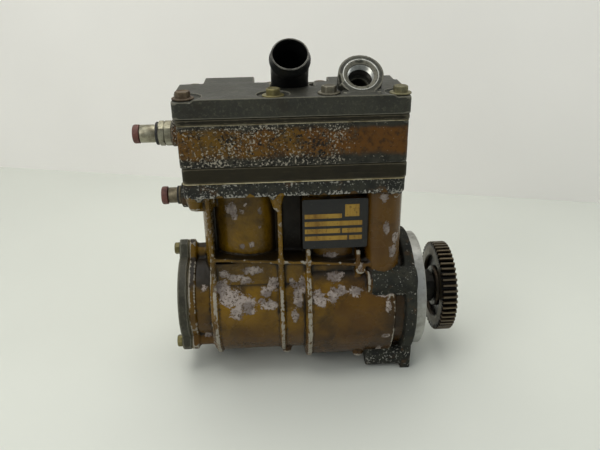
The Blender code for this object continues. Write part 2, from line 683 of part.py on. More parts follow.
inlet_pipe()
upper_fitting()
lower_fitting()
box("data_plate", (0.0080, 0.0758), (-0.0523, -0.0515), (0.0805, 0.1365), LABEL)


# ---------------------------------------------------------------- end cover and front bearing carrier
def end_cover():
    holes = [circle(0.0036, at, 8) for at in LOBES]
    slab("end_cover_gasket", [lobed_outline(0.0500), circle(0.040, sides=20)] + holes,
         (-0.1180, -0.1178), PALE_GASKET)
    cover = slab("end_cover", [lobed_outline(END_COVER_R)] + holes, END_COVER_X, DARK_ALLOY)
    cut(cover, rod_between("end_cover_recess", 0.036, (-0.1240, 0, 0), (-0.1170, 0, 0), sides=28))


end_cover()
turned("bearing_carrier",
       [(PILOT_R, 0.0110), (PILOT_R, 0.0), (SPIGOT_R, 0.0), (SPIGOT_R, -0.0140),
         (FRONT_BEARING_R + GAP, -0.0140), (FRONT_BEARING_R + GAP, 0.0060),
         (0.0240, 0.0060), (0.0240, 0.0110)],
       (PILOT_X[0], 0, 0), (1, 0, 0), BRIGHT_ALLOY, 36)
bored("main_bearing_front", FRONT_BEARING_R, FRONT_JOURNAL_R + GAP, (0.1175, 0.1360), BRONZE, 20)
bored("main_bearing_rear", REAR_BEARING_R, REAR_JOURNAL_R + GAP, (-0.1120, -0.0880), BRONZE, 20)


# ---------------------------------------------------------------- crankshaft, gear, key and nut
def crankshaft():
    """Journals, disc webs and two crankpins half a turn apart, lofted along the axis."""
    pin_half, web, web_r = 0.0108, 0.0110, 0.038
    journal = REAR_JOURNAL_R
    sections = [(-0.1135, journal, 0)]
    for x, sign, next_journal in zip(CYLINDER_X, THROW_SIGN, (0.0195, FRONT_JOURNAL_R)):
        left, right = x - pin_half, x + pin_half
        sections += [(left - web, journal, 0), (left - web, web_r, 0), (left, web_r, 0),
                     (left, CRANKPIN_R, sign), (right, CRANKPIN_R, sign), (right, web_r, 0),
                     (right + web, web_r, 0), (right + web, next_journal, 0)]
        journal = next_journal
    sections += [(0.1450, FRONT_JOURNAL_R, 0), (0.1450, 0.0190, 0), (0.1610, 0.0190, 0),
                 (0.1610, GEAR_BORE_R - GAP, 0), (0.1745, GEAR_BORE_R - GAP, 0), (0.1745, 0.0090, 0),
                 (NUT_END_X - 0.0012, 0.0090, 0), (NUT_END_X - 0.0002, 0.0080, 0)]
    full = [(x, radius, False, THROW * sign, 0) for x, radius, sign in sections]
    shaft = stacked("crankshaft", full, (0, 0, 0), (1, 0, 0), STEEL, 16)
    # the loft's first side axis is turned to stand upright, so that the throws point up and down
    shaft.rotation_euler = Matrix(((0, 0, 1), (0, -1, 0), (1, 0, 0))).to_euler()
    cut(shaft, box("shaft_keyway", (0.1640, 0.1735), (-0.00265, 0.00265), (0.0120, 0.0160)))


def gear_outline():
    """Straight-flanked teeth on a circle, four points to a tooth."""
    pitch = 2 * math.pi / GEAR_TEETH
    tip = GEAR_MODULE * (GEAR_TEETH + 2) / 2
    root = tip - 2.25 * GEAR_MODULE
    points = []
    for i in range(GEAR_TEETH):
        for share, radius in ((-0.36, root), (-0.13, tip), (0.13, tip), (0.36, root)):
            turn = pitch * (i + share)
            points.append((radius * math.cos(turn), radius * math.sin(turn)))
    return points


def drive_gear():
    gear = slab("drive_gear", [gear_outline(), circle(GEAR_BORE_R, sides=20)], GEAR_X, GEAR_STEEL)
    depth = 0.0050
    for name, x in (("left", (GEAR_X[0] - 0.001, GEAR_X[0] + depth)),
                    ("right", (GEAR_X[1] - depth, GEAR_X[1] + 0.001))):
        cut(gear, bored(f"gear_recess_{name}", 0.0364, 0.0235, x, None, 24))
    cut(gear, box("gear_keyway", (GEAR_X[0] - 0.001, GEAR_X[1] + 0.001), (-0.00265, 0.00265), (0.0, 0.0178)))


crankshaft()
drive_gear()
box("gear_key", (0.1645, 0.1730), (-0.0023, 0.0023), (0.0124, 0.0174), STEEL)


def gear_nut():
    start = GEAR_X[1] + GAP
    thick = NUT_END_X - start
    sections = [(0, 0.0165, True, 0, 0), (thick - 0.0012, 0.0165, True, 0, 0), (thick, 0.0150, True, 0, 0)]
    nut = stacked("gear_nut", sections, (start, 0, 0), (1, 0, 0), STEEL)
    cut(nut, rod_between("nut_thread", 0.0093, (start - 0.001, 0, 0), (NUT_END_X + 0.001, 0, 0)))


gear_nut()


# ---------------------------------------------------------------- pistons and connecting rods
ROD_HALF = 0.008
EYE_R = 0.0125
BUSH_R = 0.0095
PIN_R = 0.0080
BIG_R = 0.0195
CROWN = 0.0340
SKIRT = 0.0200
SHOULDER_Y = 0.0255
ROD_BOLT_Y = 0.0205


def rod_outline():
    """The upright rod: half the big end with its shoulders, a slim shank, and the small-end eye."""
    bore = CRANKPIN_R + GAP
    right = [(bore, GAP), (SHOULDER_Y, GAP), (SHOULDER_Y, 0.0075), (0.0180, 0.0120), (0.0095, 0.0230),
             (0.0065, 0.0400), (0.0060, ROD_LENGTH - 0.0160)]
    eye = arc(EYE_R, -60, 240, 14, (0, ROD_LENGTH))
    left = [(-y, z) for y, z in reversed(right)]
    half_bore = arc(bore, 180, 0, 12)
    half_bore = [(y, max(z, GAP)) for y, z in half_bore[1:-1]]
    return right + eye + left + half_bore


def cap_outline():
    bore = CRANKPIN_R + GAP
    outer = [(SHOULDER_Y, -GAP), (SHOULDER_Y, -0.0070), (0.0170, -0.0110)]
    bottom = arc(BIG_R, -38, -142, 8)
    left = [(-y, z) for y, z in reversed(outer)]
    half_bore = arc(bore, 180, 360, 12)
    half_bore = [(y, min(z, -GAP)) for y, z in half_bore]
    return outer + bottom + left + half_bore


def connecting_rod(number, x, sign):
    pin_z = sign * THROW
    span = (x - ROD_HALF, x + ROD_HALF)
    eye = circle(BUSH_R + GAP, (0, ROD_LENGTH), 20)
    rod = slab(f"connecting_rod_{number}", [rod_outline(), eye], span, STEEL, (0, pin_z))
    cap = slab(f"rod_cap_{number}", [cap_outline()], span, STEEL, (0, pin_z))
    for name, side in (("front", -1), ("rear", 1)):
        y = side * ROD_BOLT_Y
        hole = rod_between(f"rod_bolt_hole_{number}_{name}", 0.0031, (x, y, pin_z - 0.020),
                           (x, y, pin_z + 0.0068), sides=8)
        cut(rod, hole)
        cut(cap, hole)
        hex_bolt(f"rod_bolt_{number}_{name}", (x, y, pin_z - 0.0080 - GAP), (0, 0, -1), 0.0140, shank=0.0027,
                 washer=0, hexagon=0.0050, height=0.0035, mat=BLACK_STEEL)
        cut(cap, rod_between(f"rod_bolt_seat_{number}_{name}", 0.0058, (x, y, pin_z - 0.026),
                             (x, y, pin_z - 0.0080), sides=8))
    small_end = pin_z + ROD_LENGTH
    half = ROD_HALF - GAP
    profile = [(BUSH_R, half), (BUSH_R, -half), (PIN_R + GAP, -half), (PIN_R + GAP, half)]
    turned(f"small_end_bush_{number}", profile, (x, 0, small_end), (1, 0, 0), BRONZE, 20)
    return small_end


def piston(number, x, pin_z):
    outer, ring_in, cavity = BORE_R - GAP, 0.0335, 0.0325
    profile = [(0, CROWN), (outer, CROWN), (outer, 0.0310), (ring_in, 0.0310),
               (ring_in, 0.0284), (outer, 0.0284), (outer, 0.0260), (ring_in, 0.0260),
               (ring_in, 0.0234), (outer, 0.0234), (outer, -SKIRT), (cavity, -SKIRT),
               (cavity, 0.0190), (0, 0.0190)]
    body = turned(f"piston_{number}", profile, (x, 0, pin_z), (0, 0, 1), BRIGHT_ALLOY, 24)
    for name, side in (("left", -1), ("right", 1)):
        inner, wall = x + side * 0.0095, x + side * 0.0340
        join(body, rod_between(f"pin_boss_{number}_{name}", 0.0125, (inner, 0, pin_z),
                               (wall, 0, pin_z), sides=16))
        turned(f"wrist_pin_{number}_{name}",
               [(PIN_R, 0.0118), (PIN_R, -0.0118), (0.0050, -0.0118), (0.0050, 0.0118)],
               (x + side * 0.0220, 0, pin_z), (1, 0, 0), STEEL, 20)
    cut(body, rod_between(f"pin_bore_{number}", PIN_R + GAP, (x - 0.040, 0, pin_z),
                          (x + 0.040, 0, pin_z), sides=20))
    for name, top in (("upper", 0.0307), ("lower", 0.0257)):
        turned(f"piston_ring_{number}_{name}",
               [(BORE_R - GAP / 2, top), (BORE_R - GAP / 2, top - 0.0020),
                (ring_in + GAP, top - 0.0020), (ring_in + GAP, top)],
               (x, 0, pin_z), (0, 0, 1), BLACK_STEEL, 24)


for number, (x, sign) in enumerate(zip(CYLINDER_X, THROW_SIGN), 1):
    piston(number, x, connecting_rod(number, x, sign))
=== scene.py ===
"""Looks of the two-cylinder air compressor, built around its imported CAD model.

Bench coordinates are the ones the castings are described in, in millimetres: x from the middle of
the cylinder head, y from front (-) to back (+), z above the crankshaft axis. Outlines, ring lists and
the masks' limits are millimetres too, and bench(), lofted() and casting() turn them into metres.
"""
import math
import random

import bmesh
import bpy
import numpy as np
from mathutils import Matrix, Vector


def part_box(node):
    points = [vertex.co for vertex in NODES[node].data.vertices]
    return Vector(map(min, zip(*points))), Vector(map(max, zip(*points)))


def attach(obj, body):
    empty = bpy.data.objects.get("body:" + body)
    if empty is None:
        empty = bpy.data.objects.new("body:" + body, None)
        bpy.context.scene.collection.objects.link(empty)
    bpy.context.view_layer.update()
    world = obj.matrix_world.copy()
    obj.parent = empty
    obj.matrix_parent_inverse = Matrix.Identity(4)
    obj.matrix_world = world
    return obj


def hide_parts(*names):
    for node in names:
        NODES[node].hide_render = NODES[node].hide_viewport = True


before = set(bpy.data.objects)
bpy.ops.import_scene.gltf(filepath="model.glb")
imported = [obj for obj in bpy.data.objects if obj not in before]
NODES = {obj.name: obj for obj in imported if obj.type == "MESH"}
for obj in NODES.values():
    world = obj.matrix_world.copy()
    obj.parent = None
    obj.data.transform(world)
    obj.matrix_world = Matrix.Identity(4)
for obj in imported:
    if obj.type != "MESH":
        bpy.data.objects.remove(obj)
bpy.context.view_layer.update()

random.seed(7)

MM = 0.001
TILT = math.radians(45)             # lean of the delivery port and of the hose tail
PORT_MIDDLE = (65.7, -45, 258.8)    # mouth of the delivery port, bench
FLATS = 0.866                       # a hexagon's width over its flats to that over its corners
PATCH_DEPTH = 30                    # reach of a bare patch from front to back

cover_low, cover_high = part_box("head_cover")
gear_low, gear_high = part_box("drive_gear")
HEAD_X = (cover_low.x + cover_high.x) / 2
AXIS_Z = (gear_low.z + gear_high.z) / 2


def bench(x, y, z):
    """A bench point in the frame's metres."""
    return Vector((HEAD_X + x * MM, y * MM, AXIS_Z + z * MM))


def srgb(red, green, blue, tone=0.80):
    """Linear colour from 0-255 display values, dimmed by tone."""
    def linear(v):
        v /= 255
        return tone * (v / 12.92 if v <= 0.04045 else ((v + 0.055) / 1.055) ** 2.4)
    return (linear(red), linear(green), linear(blue), 1.0)


# ---- material graph
class Graph:
    """Short calls that build one material's nodes."""

    def __init__(self, name):
        self.material = bpy.data.materials.new(name)
        self.material.use_nodes = True
        self.tree = self.material.node_tree
        self.shader = self.tree.nodes["Principled BSDF"]
        self.place = self.add("ShaderNodeTexCoord").outputs["Object"]

    def add(self, kind, **settings):
        node = self.tree.nodes.new(kind)
        for key, value in settings.items():
            setattr(node, key, value)
        return node

    def feed(self, socket, value):
        if isinstance(value, bpy.types.NodeSocket):
            self.tree.links.new(value, socket)
        else:
            socket.default_value = value

    def attribute(self, name):
        return self.add("ShaderNodeAttribute", attribute_name=name).outputs["Fac"]

    def stretched(self, x, y, z):
        node = self.add("ShaderNodeMapping")
        self.feed(node.inputs["Vector"], self.place)
        node.inputs["Scale"].default_value = (x, y, z)
        return node.outputs["Vector"]

    def axis(self, index):
        node = self.add("ShaderNodeSeparateXYZ")
        self.feed(node.inputs[0], self.place)
        return node.outputs[index]

    def noise(self, scale, detail, rough=0.55, warp=0.0, place=None):
        node = self.add("ShaderNodeTexNoise")
        self.feed(node.inputs["Vector"], place or self.place)
        node.inputs["Scale"].default_value = scale
        node.inputs["Detail"].default_value = detail
        node.inputs["Roughness"].default_value = rough
        node.inputs["Distortion"].default_value = warp
        return node.outputs["Fac"]

    def math(self, operation, a, b=0.0):
        node = self.add("ShaderNodeMath", operation=operation)
        self.feed(node.inputs[0], a)
        self.feed(node.inputs[1], b)
        return node.outputs[0]

    def plus(self, *values):
        total = values[0]
        for value in values[1:]:
            total = self.math("ADD", total, value)
        return total

    def times(self, a, b):
        return self.math("MULTIPLY", a, b)

    def most(self, a, b):
        return self.math("MAXIMUM", a, b)

    def span(self, value, low, high, start=0.0, end=1.0):
        """value taken from low..high to start..end, and held there."""
        node = self.add("ShaderNodeMapRange", interpolation_type="SMOOTHSTEP")
        for name, number in (("From Min", low), ("From Max", high), ("To Min", start), ("To Max", end)):
            node.inputs[name].default_value = number
        self.feed(node.inputs["Value"], value)
        return node.outputs["Result"]

    def mix(self, share, a, b, blend="MIX"):
        node = self.add("ShaderNodeMix", data_type="RGBA", blend_type=blend)
        self.feed(node.inputs[0], share)
        self.feed(node.inputs[6], a)
        self.feed(node.inputs[7], b)
        return node.outputs[2]

    def spots(self, under, noise, low, high, most, color):
        """color laid over under where a noise passes low to high, at most so much of it."""
        return self.mix(self.span(self.noise(*noise), low, high, 0.0, most), under, color)

    def bump(self, height, distance, strength):
        node = self.add("ShaderNodeBump")
        node.inputs["Strength"].default_value = strength
        node.inputs["Distance"].default_value = distance
        self.feed(node.inputs["Height"], height)
        return node.outputs["Normal"]

    def finish(self, color, roughness, metallic, normal, specular=None):
        self.feed(self.shader.inputs["Base Color"], color)
        self.feed(self.shader.inputs["Roughness"], roughness)
        self.feed(self.shader.inputs["Metallic"], metallic)
        self.feed(self.shader.inputs["Normal"], normal)
        if specular is not None:
            self.shader.inputs["Specular IOR Level"].default_value = specular
        return self.material


def corrosion(g, amount):
    """Pale salt spots and dark pits, thick where amount is high: (pale mask, dark mask)."""
    scale = 430
    clumps = g.noise(scale * 0.16, 3, 0.6)
    spots = g.plus(g.noise(scale, 2.5, 0.65), g.times(clumps, 0.35))
    pale = g.span(g.plus(spots, g.times(amount, 0.17)), 0.92, 0.975)
    pits = g.plus(g.noise(scale * 0.75, 2, 0.7, 0.6), g.times(g.noise(scale * 0.12, 2), 0.30))
    dark = g.span(g.plus(pits, g.times(amount, 0.20)), 0.91, 0.97)
    return pale, dark


def painted_casting():
    """Ochre gloss paint over grey-pink primer, worn from edges, with dirt and painted shade in hollows and
    painted shade to the right and bottom.
    """
    g = Graph("ochre_paint_worn")
    x, z = g.axis(0), g.axis(2)
    broad = g.noise(14, 3)
    mottle = g.noise(60, 4, 0.6)
    fine = g.noise(420, 3, 0.6)
    ochre = g.mix(g.span(broad, 0.35, 0.65), srgb(132, 98, 12), srgb(98, 72, 10))
    ochre = g.mix(g.span(mottle, 0.45, 0.75, 0, 0.6), ochre, srgb(66, 46, 10))
    # browner and darker to the right and towards the bottom: partly a browner paint, partly painted shade
    # away from the light at the top left
    rightward_shade = g.span(g.plus(x, g.times(broad, 0.06)), HEAD_X + 0.015, HEAD_X + 0.110)
    downward_shade = g.span(g.plus(z, g.times(broad, -0.05)), AXIS_Z + 0.020, AXIS_Z - 0.085)
    brown_and_shade = g.most(g.times(rightward_shade, 0.75), g.times(downward_shade, 0.85))
    paint = g.mix(brown_and_shade, ochre, srgb(80, 50, 13))
    paint = g.spots(paint, (19, 5, 0.72, 0.4), 0.47, 0.68, 0.72, srgb(44, 31, 11))
    # painted shade with grime: the paint goes near black in hollows and deep gaps
    shade_and_dirt = g.attribute("shade_and_dirt")
    shade_and_grime = g.span(g.plus(g.times(shade_and_dirt, 1.1), g.times(mottle, 0.35)), 0.42, 1.05, 0, 0.94)
    paint = g.mix(shade_and_grime, paint, srgb(19, 14, 6))
    # bare primer where the paint has come off
    ragged = g.plus(g.times(g.noise(165, 6, 0.78, 1), 1.7), g.times(g.noise(620, 3, 0.7), 0.5))
    flake = g.span(g.plus(g.attribute("flake"), ragged), 1.465, 1.50)
    worn = g.attribute("worn")
    rub = g.span(g.plus(g.times(worn, 0.95), g.times(g.noise(240, 4, 0.7), 0.75)), 0.80, 0.92)
    bare = g.most(flake, rub)
    primer = g.mix(g.span(g.noise(75, 3), 0.4, 0.6), srgb(172, 160, 151), srgb(126, 115, 108))
    primer = g.mix(g.span(fine, 0.50, 0.66), primer, srgb(86, 70, 52))
    rust = g.span(g.plus(g.noise(200, 3, 0.7), g.times(worn, 0.25)), 0.62, 0.74, 0, 0.85)
    primer = g.mix(rust, primer, srgb(120, 84, 60))
    primer = g.mix(g.times(rub, 0.8), primer, srgb(168, 163, 147))
    color = g.mix(bare, paint, primer)
    # machined deck and mounting flange: bare and corroded
    zone = g.attribute("zone")
    bare_zone = g.span(g.plus(zone, g.times(g.noise(130, 4, 0.65), 0.7)), 0.78, 0.90)
    pale, dark = corrosion(g, g.plus(0.52, g.times(g.attribute("salt"), 1.7)))
    metal = g.mix(g.span(g.noise(90, 4), 0.35, 0.65), srgb(30, 31, 26), srgb(50, 50, 41))
    metal = g.spots(metal, (48, 4, 0.7), 0.54, 0.66, 0.75, srgb(80, 58, 34))
    metal = g.mix(dark, metal, srgb(34, 33, 29))
    metal = g.mix(g.times(pale, 0.85), metal, srgb(176, 173, 162))
    color = g.mix(bare_zone, color, metal)
    dirt_specks = g.span(g.noise(310, 2, 0.6), 0.70, 0.76, 0, 0.7)
    color = g.mix(dirt_specks, color, srgb(30, 24, 15))
    gloss = g.span(g.noise(45, 3), 0.3, 0.7, 0.18, 0.34)
    rough = g.plus(gloss, g.times(g.most(bare, bare_zone), 0.38), g.times(shade_and_grime, 0.22))
    relief = g.plus(g.times(bare, -0.55), g.times(fine, 0.30), g.times(g.noise(130, 3), 0.45))
    relief = g.plus(relief, g.times(g.times(bare_zone, pale), 0.5))
    normal = g.bump(relief, 0.00035, 0.9)
    return g.finish(color, rough, 0, normal, 0.26)


def corroded_head():
    """Orange paint in a middle band, eaten by dense salt spots; bare dark metal above and below."""
    g = Graph("corroded_head")
    low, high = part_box("head_body")
    height = high.z - low.z
    x, z = g.axis(0), g.axis(2)
    wander = g.plus(z, g.times(g.noise(28, 4, 0.65), 0.016), -0.008)
    band = g.times(g.span(wander, low.z + 0.17 * height, low.z + 0.33 * height),
                   g.span(wander, low.z + 0.95 * height, low.z + 0.82 * height))
    smooth_end = g.span(g.plus(x, g.times(g.noise(35, 3), 0.05)), HEAD_X + 0.062, HEAD_X + 0.092)
    hue = g.noise(24, 3)
    paint = g.mix(g.span(hue, 0.35, 0.6), srgb(108, 79, 20), srgb(104, 66, 17))
    paint = g.mix(smooth_end, paint, srgb(98, 62, 18))
    paint = g.spots(paint, (190, 3), 0.46, 0.68, 0.75, srgb(46, 34, 18))
    metal = g.mix(g.span(g.noise(80, 4), 0.35, 0.65), srgb(36, 36, 30), srgb(56, 55, 47))
    color = g.mix(band, metal, paint)
    strength = g.plus(0.70, g.times(smooth_end, -0.7), g.times(g.noise(30, 3), 0.9),
                      g.times(band, -0.12))
    pale, dark = corrosion(g, strength)
    grey = g.span(g.noise(240, 3, 0.7), 0.52, 0.66, 0, 0.75)
    grey = g.times(grey, g.span(smooth_end, 0, 1, 1, 0.25))
    color = g.mix(grey, color, srgb(78, 74, 62))
    color = g.mix(dark, color, srgb(33, 31, 26))
    color = g.mix(g.times(pale, 0.9), color, srgb(182, 174, 156))
    worn = g.span(g.plus(g.attribute("worn"), g.times(g.noise(200, 3), 0.6)), 0.75, 0.95)
    color = g.mix(g.times(worn, 0.5), color, srgb(120, 116, 104))
    rough = g.plus(0.48, g.times(pale, 0.35), g.times(dark, 0.2), g.times(smooth_end, -0.10))
    relief = g.plus(g.times(pale, 0.6), g.times(dark, -0.8), g.times(g.noise(300, 3), 0.5))
    return g.finish(color, rough, 0, g.bump(relief, 0.0006, 0.9), 0.18)


def satin_alloy(name, base, light, rough, worn_color, speckle=0.25, tint=None):
    """Dark cast alloy with a fine grain, stains, rubbed edges, and grime with painted shade in its hollows.
    """
    g = Graph(name)
    broad, grain = g.noise(22, 4, 0.6), g.noise(600, 3, 0.6)
    color = g.mix(g.span(broad, 0.35, 0.68), base, light)
    if tint is not None:
        color = g.mix(g.span(g.noise(40, 3), 0.45, 0.7, 0, 0.7), color, tint)
    color = g.mix(g.span(grain, 0.5, 0.8, 0, 0.5), color, srgb(24, 24, 21))
    dust = g.span(g.noise(260, 5, 0.75, 0.3), 0.50, 0.72, 0, 0.42)
    color = g.mix(dust, color, srgb(112, 108, 90))
    soil = g.span(g.noise(34, 5, 0.7, 0.5), 0.50, 0.66, 0, 0.55)
    color = g.mix(soil, color, srgb(36, 31, 19))
    pale, dark = corrosion(g, g.plus(speckle - 0.6, g.times(g.attribute("salt"), 1.4)))
    color = g.mix(g.times(dark, 0.7), color, srgb(26, 26, 22))
    color = g.mix(g.times(pale, 0.7), color, srgb(160, 156, 144))
    worn = g.span(g.plus(g.attribute("worn"), g.times(g.noise(170, 4, 0.7), 0.75)), 0.74, 0.95)
    color = g.mix(g.times(worn, 0.75), color, worn_color)
    # painted shade with grime: darker in hollows
    shade_and_grime = g.span(g.attribute("shade_and_dirt"), 0.25, 0.9, 0, 0.75)
    color = g.mix(shade_and_grime, color, srgb(16, 16, 13))
    roughness = g.plus(rough, g.times(g.span(broad, 0.3, 0.7), 0.14), g.times(pale, 0.2))
    relief = g.plus(g.times(grain, 0.5), g.times(g.noise(150, 3), 0.5), g.times(dark, -0.5))
    return g.finish(color, roughness, 0.12, g.bump(relief, 0.00028, 0.8), 0.35)


def smooth_plate(name, base, stain, rough, metallic=0.25):
    """A sawn or rolled plate edge with faint lengthwise marks and thumbed dirt."""
    g = Graph(name)
    along = g.noise(30, 4, 0.65, place=g.stretched(1, 1, 16))
    stains = g.noise(26, 4, 0.7, 0.4)
    color = g.mix(g.span(stains, 0.42, 0.72), base, stain)
    color = g.mix(g.span(along, 0.52, 0.75, 0, 0.35), color, srgb(68, 62, 46))
    color = g.spots(color, (380, 2), 0.66, 0.76, 0.6, srgb(24, 22, 16))
    worn = g.span(g.plus(g.attribute("worn"), g.times(g.noise(160, 4, 0.7), 0.7)), 0.78, 1)
    color = g.mix(g.times(worn, 0.6), color, srgb(98, 92, 74))
    roughness = g.span(g.noise(60, 3), 0.3, 0.7, rough, rough + 0.16)
    relief = g.plus(along, g.noise(350, 2))
    return g.finish(color, roughness, metallic, g.bump(relief, 0.00012, 0.6), 0.22)


def steel(name, base, dark, rough, metallic=0.9, grain=900, rust=0, dirt=0.35):
    """Turned or rolled metal: fine scratches, darker patches and, if asked, rust."""
    g = Graph(name)
    patches, fine = g.noise(90, 4, 0.65), g.noise(grain, 2, 0.6)
    color = g.mix(g.span(patches, 0.38, 0.68), base, dark)
    color = g.mix(g.span(fine, 0.55, 0.75, 0, dirt), color, srgb(26, 24, 20))
    red = g.span(g.plus(g.noise(160, 4, 0.7), rust), 0.95, 1.12) if rust else 0
    if rust:
        shade = g.mix(g.noise(500, 2), srgb(112, 62, 34), srgb(70, 42, 28))
        color = g.mix(red, color, shade)
    roughness = g.plus(g.span(patches, 0.3, 0.7, rough, rough + 0.18), g.times(red, 0.4))
    relief = g.plus(g.times(fine, 0.5), g.times(g.noise(260, 3), 0.5))
    metal = g.span(red, 0, 1, metallic, 0.1) if rust else metallic
    return g.finish(color, roughness, metal, g.bump(relief, 0.00010, 0.7))


def turned_face():
    """Bright turned aluminium: rings left by the tool round the shaft, with stains and nicks."""
    g = Graph("turned_alloy")
    x, y, z = (g.axis(k) for k in range(3))
    height = g.math("SUBTRACT", z, AXIS_Z)
    radius = g.math("SQRT", g.plus(g.times(y, y), g.times(height, height)))
    rings = g.math("SINE", g.times(g.plus(radius, x), 9000))
    stains = g.noise(45, 4, 0.65)
    color = g.mix(g.span(stains, 0.4, 0.7), srgb(190, 189, 183), srgb(154, 153, 146))
    color = g.spots(color, (240, 3, 0.7), 0.62, 0.74, 0.6, srgb(108, 104, 94))
    roughness = g.span(stains, 0.3, 0.7, 0.30, 0.46)
    relief = g.plus(g.times(rings, 0.18), g.times(g.noise(700, 2), 0.3))
    return g.finish(color, roughness, 0.75, g.bump(relief, 0.00008, 0.6))


def oily_gear():
    """Case-hardened gear steel under old oil, lighter where the teeth run, with painted shade near black
    between the teeth and in the recessed web.
    """
    g = Graph("oily_gear")
    oil = g.noise(70, 4, 0.6)
    color = g.mix(g.span(oil, 0.35, 0.65), srgb(46, 39, 30), srgb(70, 58, 44))
    color = g.spots(color, (180, 3), 0.55, 0.75, 0.5, srgb(78, 58, 36))
    color = g.mix(g.span(g.attribute("worn"), 0.35, 0.85, 0, 0.8), color, srgb(118, 105, 84))
    # painted shade: near black towards the tooth roots and in the recessed web
    color = g.mix(g.span(g.attribute("shade_and_dirt"), 0.2, 0.9, 0, 0.9), color, srgb(10, 9, 8))
    roughness = g.span(oil, 0.3, 0.7, 0.24, 0.42)
    relief = g.plus(g.times(g.noise(650, 2), 0.4), g.times(oil, 0.3))
    return g.finish(color, roughness, 0.8, g.bump(relief, 0.0001, 0.7))


def paper(name, base, dark):
    """Gasket edge, oil-soaked here and there."""
    g = Graph(name)
    soak = g.noise(45, 4, 0.7)
    color = g.mix(g.span(soak, 0.38, 0.62), base, dark)
    color = g.spots(color, (500, 2), 0.55, 0.75, 0.5, srgb(60, 54, 38))
    return g.finish(color, g.span(soak, 0.3, 0.7, 0.6, 0.85), 0, g.bump(g.noise(600, 3), 0.0002, 0.8))


def moulded(name, base, dark, rough):
    g = Graph(name)
    dust = g.noise(160, 4, 0.65)
    color = g.mix(g.span(dust, 0.4, 0.7), base, dark)
    color = g.spots(color, (500, 2), 0.62, 0.75, 0.6, srgb(120, 104, 92))
    return g.finish(color, g.span(dust, 0.3, 0.7, rough, rough + 0.2), 0,
                    g.bump(g.noise(420, 3), 0.00015, 0.7))


def plate_gold():
    """Anodised fields of the plate, streaked and scratched."""
    g = Graph("plate_gold")
    streak = g.noise(60, 4, 0.7, place=g.stretched(1, 1, 0.12))
    color = g.mix(g.span(streak, 0.35, 0.65), srgb(176, 140, 58), srgb(134, 98, 36))
    color = g.spots(color, (350, 3, 0.7), 0.56, 0.70, 0.75, srgb(84, 62, 28))
    return g.finish(color, g.span(streak, 0.3, 0.7, 0.30, 0.48), 0.45, g.bump(streak, 0.00006, 0.6))


def plate_black():
    g = Graph("plate_black")
    rub = g.noise(90, 5, 0.7, 0.4)
    color = g.mix(g.span(rub, 0.4, 0.7), srgb(24, 24, 24), srgb(36, 34, 29))
    color = g.spots(color, (260, 4, 0.75), 0.66, 0.76, 0.8, srgb(150, 146, 134))
    return g.finish(color, g.span(rub, 0.3, 0.7, 0.30, 0.50), 0.2, g.bump(rub, 0.00008, 0.7))


PAINT = painted_casting()
HEAD = corroded_head()
COVER = satin_alloy("satin_cover", srgb(43, 43, 36), srgb(57, 57, 48), 0.46, srgb(118, 115, 101), 0.1,
                     srgb(60, 59, 47))
BAND = smooth_plate("olive_plate", srgb(34, 30, 16), srgb(25, 22, 12), 0.42, 0.1)
PLATE = smooth_plate("brown_plate", srgb(40, 35, 19), srgb(28, 24, 14), 0.34, 0.1)
END = satin_alloy("end_cover_grey", srgb(56, 54, 42), srgb(70, 68, 54), 0.45, srgb(108, 105, 90), 0.1,
                   srgb(66, 64, 49))
GASKET = paper("gasket_edge", srgb(206, 196, 158), srgb(150, 136, 96))
THIN_GASKET = paper("cover_gasket_edge", srgb(176, 168, 138), srgb(110, 100, 72))
BLACK = steel("black_tube", srgb(31, 32, 32), srgb(23, 24, 24), 0.36, 0.55, 500)
BARE_RIM = steel("worn_rim", srgb(112, 110, 103), srgb(60, 59, 55), 0.35, 0.7)
ZINC = steel("yellow_zinc", srgb(130, 121, 74), srgb(100, 92, 58), 0.36, 0.55, dirt=0.3)
DULL_ZINC = steel("dull_zinc", srgb(128, 122, 88), srgb(96, 92, 70), 0.45, 0.5, rust=0.30)
GREY_BOLT = steel("grey_bolt", srgb(122, 116, 98), srgb(88, 84, 72), 0.42, 0.55, rust=0.32)
RUSTY = steel("rusty_bolt", srgb(106, 90, 68), srgb(76, 62, 48), 0.50, 0.5, rust=0.40)
SILVER = steel("fitting_plate", srgb(164, 160, 138), srgb(118, 112, 93), 0.30, 0.75, rust=0.24)
BRASS = steel("stained_fitting", srgb(130, 120, 96), srgb(88, 78, 62), 0.38, 0.6, rust=0.30)
MACHINED = steel("machined_steel_marks", srgb(186, 184, 178), srgb(150, 148, 142), 0.24, 1, dirt=0.2)
PORT_BRIGHT = steel("port_machined", srgb(206, 206, 198), srgb(150, 150, 142), 0.26, 0.9, dirt=0.3)
DARK_STEEL = steel("oiled_steel", srgb(52, 50, 46), srgb(38, 36, 33), 0.35, 0.85)
ALLOY = steel("piston_alloy", srgb(190, 188, 182), srgb(158, 156, 150), 0.30, 0.9, dirt=0.2)
BRONZE = steel("bearing_bronze_marks", srgb(176, 134, 78), srgb(140, 102, 58), 0.32, 0.9, dirt=0.25)
TURNED = turned_face()
GEAR = oily_gear()
RUBBER = moulded("dark_rubber", srgb(30, 29, 27), srgb(20, 20, 19), 0.55)
RED_CAP = moulded("red_brown_plastic", srgb(106, 58, 46), srgb(80, 44, 37), 0.5)
GOLD = plate_gold()
LABEL = plate_black()


# ---- mesh helpers
def vertices_of(mesh, layer="co"):
    values = np.empty(len(mesh.vertices) * 3)
    mesh.vertices.foreach_get(layer, values)
    return values.reshape(-1, 3)


